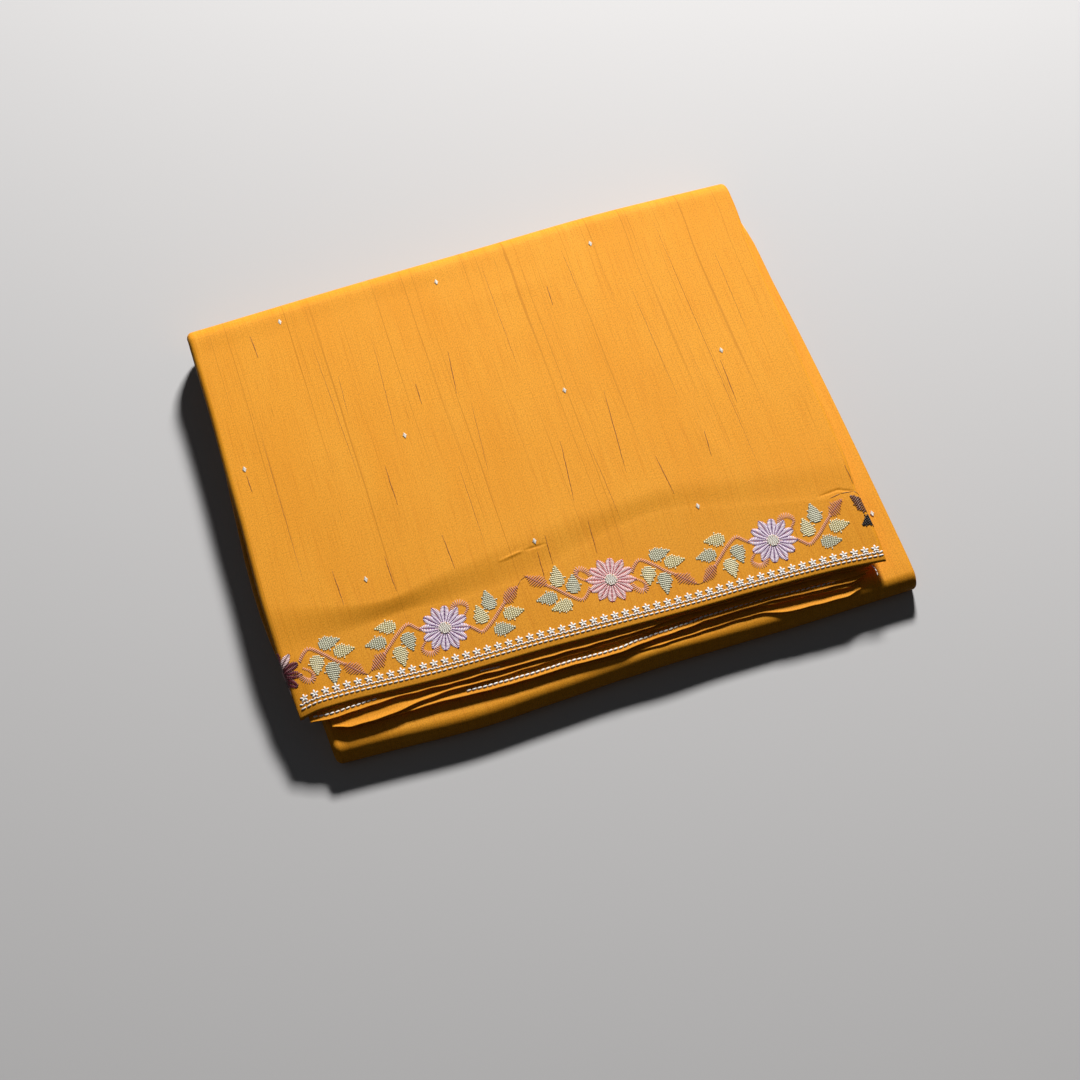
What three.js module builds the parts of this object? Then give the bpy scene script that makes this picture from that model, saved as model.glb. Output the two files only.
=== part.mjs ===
// A silk saree folded for the shelf: four panels deep, each sixteen layers thick.
// Millimetres, Z up, X along the length of the cloth, the front of the bundle towards -Y.
import * as THREE from 'three';
import { mergeVertices } from 'three/addons/utils/BufferGeometryUtils.js';

// Driving dimensions
const BUNDLE_HEIGHT = 34;
const LOWER_HEIGHT = 17.3;
const CLOTH_WALL = 1.2;
const EDGE_WALL = 1.0;
const SEAM = 0.3;
const PATH_SEAM = 0.45;
const LAYER_SLACK = 0.6;
const BACK_BULGE = 15;
const FRONT_EDGE_HEIGHT_LEFT = 27.2;
const FRONT_EDGE_HEIGHT_RIGHT = 29;
const HEM_DROOP = 0.5;
const CORNER_CURL = 1.2;
const EDGE_STRIP_BACK = -112.5;
const EDGES_FRONT = -152;
const LAYERS_FRONT = EDGE_STRIP_BACK + SEAM;
const FOLD_RETURN_BACK = 136;

// The wrap of the outer cloth round a stack of layers at each end of the length:
// how far the cloth bulges out and how far down the stack it reaches.
const LEFT_WRAP = { bulge: 4, depth: 8.3 };
const RIGHT_WRAP = { bulge: 2.2, depth: 4.2 };

// Outline of the bundle from above. Rows are [y, x].
const TOP_LEFT_SIDE = [
  [-145, -198], [-120, -199.4], [-95, -200.8], [-60, -201.4], [-30, -200.7],
  [0, -199.6], [40, -199], [85, -197.7], [142, -197.2], [170, -196.8],
];
const TOP_RIGHT_SIDE = [
  [-145, 182.9], [-128, 183.7], [-112, 183], [-93, 182.4], [-66, 184.4],
  [0, 184], [60, 183.6], [138, 183], [166, 182.5],
];
const LOWER_LEFT_SIDE = [[-164, -184], [-60, -188], [60, -192], [170, -195.5]];
const LOWER_RIGHT_SIDE = [
  [-164, 200], [-148, 200.6], [-113, 200.1], [-60, 198.9], [-5, 197.3],
  [46, 195.2], [85, 193.3], [125, 192.6], [152, 191.5], [170, 189],
];

// How far the second stack of layers peeks out below the top one at the left.
const LEFT_PEEK = [[-100, 0], [-60, 2.4], [-20, 3], [20, 1.6], [50, 0]];

// Lines that run along the length. Rows are [x, y].
const BACK_FOLD_AXIS = [
  [-197, 145], [-141, 147], [-72, 149.8], [-33, 150.8], [4, 151.8],
  [40, 153], [80, 154.1], [120, 154.2], [183, 152.4],
];
const FRONT_FOLD_AXIS = [
  [-184, -156.8], [-140, -158.6], [-93, -160.3], [-45, -158], [0, -155.6],
  [53, -154.5], [121, -153.9], [198, -152.1],
];
const TOP_FRONT_EDGE = [
  [-198, -137.2], [-186, -135.7], [-166, -135.2], [-148, -135.4], [-103, -137],
  [-44, -137.2], [-18, -138], [10, -138.4], [94, -138.6], [127, -139.8],
  [160, -141.4], [183, -144.4],
];
const SLOPE_TOP = [
  [-198, -60], [-131, -78], [-89, -71], [-47, -64], [-5, -58],
  [35, -56], [76, -55], [102, -60], [183, -70],
];
const SLOPE_FOOT = [
  [-198, -100], [-120, -90], [-82, -92], [-29, -90], [15, -78],
  [57, -72], [102, -82], [183, -100],
];

// Height of the top panel at the slope's foot. Rows are [x, z].
const SLOPE_FOOT_HEIGHT = [
  [-198, 31], [-45, 31], [-5, 31.6], [45, 32.2], [95, 32.5], [183, 32.6],
];

// The five edges that show below the top one, from the top down. Level rows are [x, share]:
// the place of the edge's upper face in the stack, 0 on the lower fold and 1 under the top
// panel. Front rows are [x, y].
const EDGES = [
  {
    name: 'second_edge', left: -191, right: 177,
    level: [
      [-191, 0.75], [-184, 0.785], [-176, 0.8], [0, 0.8], [60, 0.74], [110, 0.67],
      [150, 0.67], [177, 0.8],
    ],
    front: [
      [-191, -143.5], [-165, -142.3], [-135, -141.2], [-110, -142.4], [-60, -143.2],
      [0, -143.8], [25, -143.4], [42, -141.9], [110, -142], [150, -143.2], [177, -145.4],
    ],
  },
  {
    name: 'third_edge', left: -181, right: 172,
    level: [[-181, 0.655], [0, 0.635], [110, 0.535], [172, 0.535]],
    front: [
      [-181, -150.6], [-150, -151.2], [-133, -148.9], [-110, -146.4], [-74, -146.8],
      [-50, -146], [0, -145.4], [60, -144.6], [108, -145.2], [135, -146.1],
      [155, -147.7], [172, -149.4],
    ],
  },
  {
    name: 'fourth_edge', left: -177, right: 169,
    level: [[-177, 0.49], [0, 0.475], [110, 0.405], [169, 0.405]],
    front: [
      [-177, -149.5], [-141, -151.2], [-113, -151], [-95, -152], [-61, -152.9],
      [-30, -152.2], [0, -152.7], [20, -151], [45, -149.6], [70, -148.1], [105, -148],
      [128, -149.3], [150, -150.4], [169, -151.2],
    ],
  },
  {
    name: 'fifth_edge', left: -173, right: 164,
    level: [[-173, 0.325], [0, 0.315], [110, 0.275], [164, 0.275]],
    front: [
      [-173, -148], [-80, -150], [0, -151.2], [45, -148.6], [93, -148], [104, -149.6],
      [114, -149.8], [131, -150.8], [150, -152.3], [164, -153.6],
    ],
  },
  {
    name: 'sixth_edge', left: -169, right: 163,
    level: [[-169, 0.16], [0, 0.155], [110, 0.145], [163, 0.145]],
    front: [
      [-169, -146], [-80, -148], [-30, -151.5], [-8, -153.8], [13, -154.3],
      [29, -154.6], [60, -153.4], [82, -152.4], [98, -153], [111, -156.2],
      [130, -157.6], [163, -158.5],
    ],
  },
];

// Stacks of layers at the two ends, from the floor up, as heights in millimetres.
// At the left each panel ends in one fold; at the right in one thick and two thin ones.
const LOWER_STACKS_LEFT = [8.65, 8.65];
const UPPER_STACKS_LEFT = [8.35, 8.35];
const LOWER_STACKS_RIGHT = [4.3, 2.2, 2.15, 2.15, 2.2, 4.3];
const UPPER_STACKS_RIGHT = [4.3, 2.1, 2, 2, 2.1, 4.2];

// Fineness of the mesh
const TOP_COLUMNS = 16;
const EDGE_COLUMNS = 46;
const LAYER_COLUMNS = 12;
const LEVELS_PER_STACK = 3;

const COLOURS = {
  outer: 0xf2a52e,
  edge: 0xd8912a,
  layers: 0x9c6418,
};

// Smooth line through a table of [at, value] rows.
function curve(table, at) {
  const last = table.length - 1;
  if (at <= table[0][0]) return table[0][1];
  if (at >= table[last][0]) return table[last][1];
  let i = 0;
  while (at > table[i + 1][0]) i += 1;
  const slope = (a, b) => (table[b][1] - table[a][1]) / (table[b][0] - table[a][0]);
  const step = table[i + 1][0] - table[i][0];
  const here = slope(Math.max(i - 1, 0), i + 1) * step;
  const next = slope(i, Math.min(i + 2, last)) * step;
  const t = (at - table[i][0]) / step;
  const t2 = t * t;
  const t3 = t2 * t;
  return (2 * t3 - 3 * t2 + 1) * table[i][1] + (t3 - 2 * t2 + t) * here
    + (3 * t2 - 2 * t3) * table[i + 1][1] + (t3 - t2) * next;
}

const mix = (a, b, t) => a + (b - a) * t;

function smooth(t) {
  const c = Math.min(Math.max(t, 0), 1);
  return c * c * (3 - 2 * c);
}

// Height of the outer face of the top panel.
function topHeight(x, y) {
  const edgeY = curve(TOP_FRONT_EDGE, x);
  const footY = curve(SLOPE_FOOT, x);
  const topY = curve(SLOPE_TOP, x);
  const footZ = curve(SLOPE_FOOT_HEIGHT, x);
  const along = (x + 198) / 381;
  const curl = CORNER_CURL * smooth((-182 - x) / 16);
  const edgeZ = mix(FRONT_EDGE_HEIGHT_LEFT, FRONT_EDGE_HEIGHT_RIGHT, along) - curl;
  if (y >= topY) return BUNDLE_HEIGHT;
  if (y >= footY) {
    return mix(footZ, BUNDLE_HEIGHT, smooth((y - footY) / (topY - footY)));
  }
  const t = Math.max((y - edgeY) / (footY - edgeY), 0);
  const droop = HEM_DROOP * Math.max(1 - t * 8, 0);
  return mix(edgeZ, footZ, t ** 0.8) - droop;
}

const frontRadius = LOWER_HEIGHT / 2;

// Paths of the outer cloth in the plane across the length. Each gives the point at a
// share t of its stretch and the direction into the bundle.
function topPath(x, t) {
  const flatShare = 0.66;
  const axis = curve(BACK_FOLD_AXIS, x);
  if (t <= flatShare) {
    const front = curve(TOP_FRONT_EDGE, x);
    const y = mix(front, axis, (t / flatShare) ** 1.3);
    const rise = (topHeight(x, y + 0.5) - topHeight(x, y - 0.5));
    const size = Math.hypot(1, rise);
    return { y, z: topHeight(x, y), inY: rise / size, inZ: -1 / size };
  }
  const turn = ((t - flatShare) / (1 - flatShare)) * Math.PI;
  const half = BUNDLE_HEIGHT / 2;
  const size = Math.hypot(Math.sin(turn) / BACK_BULGE, Math.cos(turn) / half);
  return {
    y: axis + BACK_BULGE * Math.sin(turn),
    z: half + half * Math.cos(turn),
    inY: -Math.sin(turn) / BACK_BULGE / size,
    inZ: -Math.cos(turn) / half / size,
  };
}

function underPath(x, t) {
  const back = curve(BACK_FOLD_AXIS, x) - PATH_SEAM;
  const front = curve(FRONT_FOLD_AXIS, x) + PATH_SEAM;
  return { y: mix(back, front, t), z: 0, inY: 0, inZ: 1 };
}

function frontPath(x, t) {
  const roundShare = 0.55;
  const axis = curve(FRONT_FOLD_AXIS, x);
  if (t <= roundShare) {
    const turn = (t / roundShare) * Math.PI;
    return {
      y: axis - frontRadius * Math.sin(turn),
      z: frontRadius - frontRadius * Math.cos(turn),
      inY: Math.sin(turn),
      inZ: Math.cos(turn),
    };
  }
  const back = (t - roundShare) / (1 - roundShare);
  return { y: mix(axis, FOLD_RETURN_BACK, back), z: LOWER_HEIGHT, inY: 0, inZ: -1 };
}

// Ends of the outer cloth at a place on its path: the upper outline near the top of the
// bundle, the lower one near the floor.
function endsAt(y, z) {
  const lift = smooth((z - LOWER_HEIGHT * 0.6) / (BUNDLE_HEIGHT * 0.8 - LOWER_HEIGHT * 0.6));
  const upper = y > FOLD_RETURN_BACK ? lift : Number(z > LOWER_HEIGHT + 1);
  return {
    left: mix(curve(LOWER_LEFT_SIDE, y), curve(TOP_LEFT_SIDE, y), upper),
    right: mix(curve(LOWER_RIGHT_SIDE, y), curve(TOP_RIGHT_SIDE, y), upper),
  };
}

// The wrap is shallower towards the loose front edge.
function wrapShare(y, z) {
  if (z <= LOWER_HEIGHT + 1) return 1;
  return mix(0.42, 1, smooth((y - curve(TOP_FRONT_EDGE, 0)) / 26))
    * (topHeight(0, y) - LOWER_HEIGHT) / (BUNDLE_HEIGHT - LOWER_HEIGHT);
}

// One row of a stretch of outer cloth: round the left end, over, round the right end.
function wrappedRow(path, t) {
  const points = [];
  const turns = [160, 135, 110, 90, 65, 40, 18, 0];
  const place = (guess, sink) => {
    const at = path(guess, t);
    return { y: at.y + at.inY * sink, z: at.z + at.inZ * sink };
  };
  const middle = path(0, t);
  const share = wrapShare(middle.y, middle.z);
  const turned = (wrap, degrees) => {
    const angle = THREE.MathUtils.degToRad(degrees);
    return {
      back: wrap.bulge * (1 - Math.sin(angle)),
      sink: (wrap.depth * share * (1 - Math.cos(angle))) / 2,
    };
  };
  const leftOuter = path(-190, t);
  const rightOuter = path(188, t);
  const leftEnd = endsAt(leftOuter.y, leftOuter.z).left;
  const rightEnd = endsAt(rightOuter.y, rightOuter.z).right;
  for (const degrees of turns) {
    const { back, sink } = turned(LEFT_WRAP, degrees);
    const x = leftEnd + back;
    const { y, z } = place(x, sink);
    points.push(new THREE.Vector3(x, y, z));
  }
  const first = leftEnd + LEFT_WRAP.bulge;
  const last = rightEnd - RIGHT_WRAP.bulge;
  for (let i = 1; i < TOP_COLUMNS; i += 1) {
    const x = mix(first, last, i / TOP_COLUMNS);
    const { y, z } = place(x, 0);
    points.push(new THREE.Vector3(x, y, z));
  }
  for (const degrees of [...turns].reverse()) {
    const { back, sink } = turned(RIGHT_WRAP, degrees);
    const x = rightEnd - back;
    const { y, z } = place(x, sink);
    points.push(new THREE.Vector3(x, y, z));
  }
  return points;
}

// Directions out of a grid of points, from its neighbours.
function gridNormals(rows) {
  const height = rows.length - 1;
  return rows.map((row, j) => row.map((point, i) => {
    const width = row.length - 1;
    const along = rows[j][Math.min(i + 1, width)].clone().sub(rows[j][Math.max(i - 1, 0)]);
    const across = rows[Math.min(j + 1, height)][i].clone().sub(rows[Math.max(j - 1, 0)][i]);
    return along.cross(across).normalize();
  }));
}

// Closed wall between an outer grid and the same grid moved inwards.
function wallFromGrid(rows, thickness) {
  const normals = gridNormals(rows);
  const inner = rows.map((row, j) => row.map(
    (point, i) => point.clone().addScaledVector(normals[j][i], -thickness),
  ));
  return closedBetween(rows, inner);
}

function closedBetween(outer, inner) {
  const rows = outer.length;
  const columns = outer[0].length;
  const positions = [];
  for (const grid of [outer, inner]) {
    for (const row of grid) {
      for (const point of row) positions.push(point.x, point.y, point.z);
    }
  }
  const layer = rows * columns;
  const at = (side, j, i) => side * layer + j * columns + i;
  const faces = [];
  const quad = (a, b, c, d) => faces.push(a, b, c, a, c, d);
  for (let j = 0; j < rows - 1; j += 1) {
    for (let i = 0; i < columns - 1; i += 1) {
      quad(at(0, j, i), at(0, j, i + 1), at(0, j + 1, i + 1), at(0, j + 1, i));
      quad(at(1, j, i), at(1, j + 1, i), at(1, j + 1, i + 1), at(1, j, i + 1));
    }
  }
  for (let i = 0; i < columns - 1; i += 1) {
    const back = rows - 1;
    quad(at(0, 0, i + 1), at(0, 0, i), at(1, 0, i), at(1, 0, i + 1));
    quad(at(0, back, i), at(0, back, i + 1), at(1, back, i + 1), at(1, back, i));
  }
  for (let j = 0; j < rows - 1; j += 1) {
    const end = columns - 1;
    quad(at(0, j, 0), at(0, j + 1, 0), at(1, j + 1, 0), at(1, j, 0));
    quad(at(0, j + 1, end), at(0, j, end), at(1, j, end), at(1, j + 1, end));
  }
  return geometryOf(positions, faces);
}

function geometryOf(positions, faces) {
  const geometry = new THREE.BufferGeometry();
  geometry.setAttribute('position', new THREE.Float32BufferAttribute(positions, 3));
  geometry.setIndex(faces);
  const merged = mergeVertices(geometry, 1e-3);
  merged.computeVertexNormals();
  return merged;
}

// Shares of a stretch where its rows lie.
const evenly = (count) => Array.from({ length: count + 1 }, (_, i) => i / count);

function outerStretch(path, shares) {
  return wallFromGrid(shares.map((t) => wrappedRow(path, t)), CLOTH_WALL);
}

function topPanel() {
  return outerStretch(topPath, evenly(31));
}

function underPanel() {
  return outerStretch(underPath, evenly(8));
}

function frontFold() {
  return outerStretch(frontPath, evenly(24));
}

// Height over the loose edges, straight from the foremost of them back to the layers.
function looseRoof(x, y) {
  const frontZ = topHeight(x, curve(TOP_FRONT_EDGE, x));
  const backZ = topHeight(x, EDGE_STRIP_BACK);
  const back = (y - EDGES_FRONT) / (EDGE_STRIP_BACK - EDGES_FRONT);
  return mix(frontZ, backZ, back) - CLOTH_WALL;
}

// One of the loose edges that show at the front.
function looseEdge(edge) {
  const rows = [0, 0.06, 0.25, 1].map((share) => {
    const row = [];
    for (let i = 0; i <= EDGE_COLUMNS; i += 1) {
      const u = i / EDGE_COLUMNS;
      const x = mix(edge.left, edge.right, u);
      const corner = 3 * (smooth(1 - u * 20) + smooth(1 - (1 - u) * 20));
      const front = curve(edge.front, x) + corner;
      const y = mix(front, EDGE_STRIP_BACK, share);
      const z = mix(LOWER_HEIGHT, looseRoof(x, y), curve(edge.level, x));
      row.push(new THREE.Vector3(x, y, z));
    }
    return row;
  });
  const inner = rows.map((row) => row.map(
    (point) => new THREE.Vector3(point.x, point.y, point.z - EDGE_WALL),
  ));
  return closedBetween(rows, inner);
}

// How far a stack of layers stands out at a height, from 0 in the groove between two
// stacks to 1 at the middle of one; number counts the stacks from the bottom.
function stackBulge(stacks, height) {
  let base = 0;
  let number = 0;
  while (number < stacks.length - 1 && height > base + stacks[number]) {
    base += stacks[number];
    number += 1;
  }
  const half = stacks[number] / 2;
  const off = Math.min(Math.abs(height - base - half) / half, 1);
  return { out: Math.sqrt(1 - off * off), number, size: stacks[number] };
}

// Heights at which the layers are sectioned: near the foot, at the middle and near the
// top of each stack.
function stackHeights(stacks) {
  const heights = [];
  let base = 0;
  for (const stack of stacks) {
    for (let i = 0; i < LEVELS_PER_STACK; i += 1) {
      heights.push(base + stack * mix(0.08, 0.92, i / (LEVELS_PER_STACK - 1)));
    }
    base += stack;
  }
  return heights;
}

// All levels of the hidden layers, from the floor up: the lower package, the fold that
// joins it to the upper one at the back, and the upper package.
function layerLevels() {
  const inset = CLOTH_WALL + SEAM;
  const lowerRoof = LOWER_HEIGHT - inset;
  const upperFloor = LOWER_HEIGHT + SEAM;
  const lower = stackHeights(LOWER_STACKS_RIGHT)
    .filter((z) => z > inset + 0.2 && z < lowerRoof - 0.4)
    .map((z) => ({ part: 'lower', z }));
  const upperTall = BUNDLE_HEIGHT - inset - upperFloor;
  const upper = stackHeights(UPPER_STACKS_RIGHT)
    .map((h) => LOWER_HEIGHT + h)
    .filter((z) => z > upperFloor + 0.3 && z < BUNDLE_HEIGHT - inset - 0.2)
    .map((z) => ({ part: 'upper', z, share: (z - upperFloor) / upperTall }));
  return [
    { part: 'lower', z: inset },
    ...lower,
    { part: 'lower', z: lowerRoof - 0.25 },
    { part: 'neck', z: lowerRoof },
    { part: 'neck', z: upperFloor },
    { part: 'upper', z: upperFloor + 0.25, share: 0.25 / upperTall },
    ...upper,
    { part: 'upper', z: BUNDLE_HEIGHT - inset, share: 1 },
  ];
}

function backOfLayers(x, z) {
  const inset = CLOTH_WALL + SEAM;
  const half = BUNDLE_HEIGHT / 2;
  const rise = Math.min(Math.abs(z - half) / (half - inset), 1);
  const reach = BACK_BULGE - inset - LAYER_SLACK;
  return curve(BACK_FOLD_AXIS, x) + reach * Math.sqrt(1 - rise * rise);
}

function frontOfLayers(x, level) {
  if (level.part === 'neck') return FOLD_RETURN_BACK + 2 * SEAM;
  if (level.part === 'upper') return LAYERS_FRONT;
  const radius = frontRadius - CLOTH_WALL - SEAM;
  const rise = Math.min(Math.abs(level.z - frontRadius) / radius, 1);
  return curve(FRONT_FOLD_AXIS, x) - (radius - LAYER_SLACK) * Math.sqrt(1 - rise * rise);
}

// Ends of the hidden layers along the length at one level.
function endsOfLayers(level, y) {
  const cover = CLOTH_WALL + SEAM;
  const upper = level.part === 'upper';
  const height = upper ? level.z - LOWER_HEIGHT : level.z;
  const ends = upper
    ? { left: curve(TOP_LEFT_SIDE, y), right: curve(TOP_RIGHT_SIDE, y) }
    : { left: curve(LOWER_LEFT_SIDE, y), right: curve(LOWER_RIGHT_SIDE, y) };
  const leftStack = stackBulge(upper ? UPPER_STACKS_LEFT : LOWER_STACKS_LEFT, height);
  const rightStack = stackBulge(upper ? UPPER_STACKS_RIGHT : LOWER_STACKS_RIGHT, height);
  const leftBare = upper && leftStack.number === 0;
  const rightBare = upper ? rightStack.number < 5 : (rightStack.number > 0 && rightStack.number < 5);
  const leftOut = leftBare ? leftStack.out * LEFT_WRAP.bulge : 0;
  const rightOut = rightBare ? rightStack.out * Math.min(rightStack.size / 2, RIGHT_WRAP.bulge) : 0;
  const peek = upper && leftStack.number === 0 ? curve(LEFT_PEEK, y) : 0;
  // At the back the outer cloth covers the ends of every layer, so they are set in there.
  const covered = smooth((y - 126) / 10);
  const wrapIn = mix(0, 4.4, covered);
  return {
    left: ends.left + LEFT_WRAP.bulge + SEAM + (leftBare ? 0 : cover * 0.4)
      - (leftOut + peek * leftStack.out) * (1 - covered) + wrapIn * 0.4,
    right: ends.right - RIGHT_WRAP.bulge - SEAM - (rightBare ? 0 : cover * 0.4)
      + rightOut * (1 - covered) - wrapIn,
  };
}

function layerPoint(level, u, v) {
  const cornerIn = 2.5 * (smooth(1 - v * 12) + smooth(1 - (1 - v) * 12));
  let x = mix(-186, 184, u);
  let y = 0;
  for (let pass = 0; pass < 3; pass += 1) {
    y = mix(frontOfLayers(x, level), backOfLayers(x, level.z), v);
    const ends = endsOfLayers(level, y);
    x = mix(ends.left + cornerIn, ends.right - cornerIn, u);
  }
  if (level.part !== 'upper') return new THREE.Vector3(x, y, level.z);
  const floor = LOWER_HEIGHT + SEAM;
  const onSlope = 1 - smooth((y - curve(SLOPE_TOP, x) - 4) / 10);
  const roof = topHeight(x, y) - CLOTH_WALL - SEAM - LAYER_SLACK * onSlope;
  return new THREE.Vector3(x, y, mix(floor, roof, level.share));
}

// The layers that the outer cloth hides: one rounded solid, grooved between its stacks.
function hiddenLayers() {
  const levels = layerLevels();
  const acrossShares = evenly(LAYER_COLUMNS);
  const backShares = [0, 0.04, 0.1, 0.17, 0.26, 0.42, 0.6, 0.78, 0.88, 0.94, 0.98, 1];
  const lastU = acrossShares.length - 1;
  const lastV = backShares.length - 1;
  const ring = [];
  for (let i = 0; i < lastU; i += 1) ring.push([i, 0]);
  for (let j = 0; j < lastV; j += 1) ring.push([lastU, j]);
  for (let i = lastU; i > 0; i -= 1) ring.push([i, lastV]);
  for (let j = lastV; j > 0; j -= 1) ring.push([0, j]);
  const positions = [];
  const faces = [];
  for (const level of levels) {
    for (const [i, j] of ring) {
      positions.push(...layerPoint(level, acrossShares[i], backShares[j]));
    }
  }
  for (let k = 0; k < levels.length - 1; k += 1) {
    for (let n = 0; n < ring.length; n += 1) {
      const next = (n + 1) % ring.length;
      const a = k * ring.length + n;
      const b = k * ring.length + next;
      const c = (k + 1) * ring.length + next;
      const d = (k + 1) * ring.length + n;
      faces.push(a, b, c, a, c, d);
    }
  }
  const cap = (level, up) => {
    const start = positions.length / 3;
    for (const v of backShares) {
      for (const u of acrossShares) positions.push(...layerPoint(level, u, v));
    }
    const width = acrossShares.length;
    for (let j = 0; j < lastV; j += 1) {
      for (let i = 0; i < lastU; i += 1) {
        const a = start + j * width + i;
        const [b, c, d] = [a + 1, a + width + 1, a + width];
        if (up) faces.push(a, b, c, a, c, d);
        else faces.push(a, c, b, a, d, c);
      }
    }
  };
  cap(levels[0], false);
  cap(levels[levels.length - 1], true);
  return geometryOf(positions, faces);
}

function meshOf(name, geometry, colour) {
  const material = new THREE.MeshStandardMaterial({ color: colour, roughness: 0.6 });
  material.side = THREE.DoubleSide;
  const mesh = new THREE.Mesh(geometry, material);
  mesh.name = name;
  return mesh;
}

const saree = new THREE.Group();
saree.name = 'folded_saree';
saree.add(meshOf('top_panel', topPanel(), COLOURS.outer));
saree.add(meshOf('under_panel', underPanel(), COLOURS.outer));
saree.add(meshOf('front_fold', frontFold(), COLOURS.outer));
for (const edge of EDGES) {
  saree.add(meshOf(edge.name, looseEdge(edge), COLOURS.edge));
}
saree.add(meshOf('hidden_layers', hiddenLayers(), COLOURS.layers));

export default saree;
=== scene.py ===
"""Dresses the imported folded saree: fine cloth, layered ends, embroidery, light and camera.

Sizes are in millimetres unless a name says otherwise, and are turned to metres where a
mesh is made. X runs along the length of the cloth, the loose embroidered edge faces -Y,
the full-height fold faces +Y and Z is up. A share runs from 0 to 1. In Args, x is a place
along the length, y one across it and z a height over the floor.
"""

import logging
import math
import random
from dataclasses import dataclass, field
from enum import Enum
from itertools import accumulate, pairwise
from typing import Callable, Iterator, NamedTuple, Sequence

import bmesh
import bpy
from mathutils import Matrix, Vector, noise


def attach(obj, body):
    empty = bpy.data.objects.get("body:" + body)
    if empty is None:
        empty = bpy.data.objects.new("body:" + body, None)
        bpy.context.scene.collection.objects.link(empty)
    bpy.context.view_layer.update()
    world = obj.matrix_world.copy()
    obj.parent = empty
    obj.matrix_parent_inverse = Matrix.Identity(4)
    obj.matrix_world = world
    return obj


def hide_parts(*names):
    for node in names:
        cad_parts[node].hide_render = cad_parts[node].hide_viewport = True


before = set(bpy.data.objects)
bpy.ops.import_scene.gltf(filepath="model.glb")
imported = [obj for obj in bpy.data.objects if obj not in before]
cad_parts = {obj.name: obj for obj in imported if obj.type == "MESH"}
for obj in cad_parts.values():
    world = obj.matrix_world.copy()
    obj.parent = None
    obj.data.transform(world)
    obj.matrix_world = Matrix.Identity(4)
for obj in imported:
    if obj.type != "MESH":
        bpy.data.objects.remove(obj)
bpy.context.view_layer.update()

MM = 0.001
LEFT_END, RIGHT_END = -198.0, 183.0
LOG = logging.getLogger("saree")
Spot = tuple[float, float]
Point = tuple[float, float, float]
Colour = tuple[float, float, float]
Face = tuple[int, ...]
Grid = list[list[Vector]]
Socket = bpy.types.NodeSocket


def mix(a: float, b: float, share: float) -> float:
    """Value a share of the way from a to b."""
    return a + (b - a) * share


def smooth(share: float) -> float:
    """Eased share, held between 0 and 1."""
    held = min(max(share, 0.0), 1.0)
    return held * held * (3 - 2 * held)


def evenly(count: int) -> list[float]:
    """Shares from 0 to 1 in count equal steps."""
    return [i / count for i in range(count + 1)]


def middles(count: int) -> list[float]:
    """Shares at the middles of count equal steps."""
    return [(i + 0.5) / count for i in range(count)]


def near_ends(share: float, sharpness: float) -> float:
    """1 at either end of a span, eased to 0 within 1 / sharpness of it."""
    return smooth(1 - share * sharpness) + smooth(1 - (1 - share) * sharpness)


def uneven(size: float, *place: float) -> float:
    """Value of a fixed, soft noise at a place, of about the given size."""
    return noise.noise(Vector(place)) * size


def from_srgb(*levels: int) -> Colour:
    """Linear colour of an sRGB red, green and blue given from 0 to 255."""
    shares = [level / 255 for level in levels]
    return tuple(s / 12.92 if s <= 0.04045 else ((s + 0.055) / 1.055) ** 2.4 for s in shares)


class Line:
    """Smooth line through a short table of rows (at, value)."""

    def __init__(self, *rows: tuple[float, float]) -> None:
        """Keep the rows, in rising order of at."""
        self.rows = rows

    def _slope(self, a: int, b: int) -> float:
        """Slope from row a to row b."""
        return (self.rows[b][1] - self.rows[a][1]) / (self.rows[b][0] - self.rows[a][0])

    def __call__(self, at: float) -> float:
        """Value of the line at a place, held flat past its ends.

        Args:
            at: place along the line.

        Returns:
            The value there.
        """
        rows, last = self.rows, len(self.rows) - 1
        if at <= rows[0][0]:
            return rows[0][1]
        if at >= rows[last][0]:
            return rows[last][1]
        i = 0
        while at > rows[i + 1][0]:
            i += 1
        step = rows[i + 1][0] - rows[i][0]
        here = self._slope(max(i - 1, 0), i + 1) * step
        after = self._slope(i, min(i + 2, last)) * step
        t = (at - rows[i][0]) / step
        t2, t3 = t * t, t * t * t
        return (
            (2 * t3 - 3 * t2 + 1) * rows[i][1]
            + (t3 - 2 * t2 + t) * here
            + (3 * t2 - 2 * t3) * rows[i + 1][1]
            + (t3 - t2) * after
        )


@dataclass(frozen=True)
class Wrap:
    """How the outer cloth wraps a stack of layers at one end of the length."""

    bulge: float
    depth: float

    def turned(self, degrees: float, share: float) -> Spot:
        """How far in from the end, and how deep, the wrap lies at an angle round it."""
        angle = math.radians(degrees)
        return self.bulge * (1 - math.sin(angle)), self.depth * share * (1 - math.cos(angle)) / 2


@dataclass(frozen=True)
class Crease:
    """Soft crease in the top panel, from start to end, raised or sunk by height."""

    start: Spot
    end: Spot
    width: float
    height: float

    def at(self, x: float, y: float) -> float:
        """Height that the crease adds at a place.

        Args:
            x: of the place.
            y: of the place.

        Returns:
            The height, below zero where the crease is sunk.
        """
        ax, ay = self.start
        bx, by = self.end
        run = (bx - ax) ** 2 + (by - ay) ** 2
        along = min(max(((x - ax) * (bx - ax) + (y - ay) * (by - ay)) / run, 0.0), 1.0)
        off = math.hypot(x - mix(ax, bx, along), y - mix(ay, by, along))
        fade = math.sin(math.pi * mix(0.15, 0.85, along))
        return self.height * fade * math.exp(-((off / self.width) ** 2))


@dataclass(frozen=True)
class Place:
    """A point on a path across the length, with the direction into the bundle."""

    y: float
    z: float
    in_y: float
    in_z: float


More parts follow.
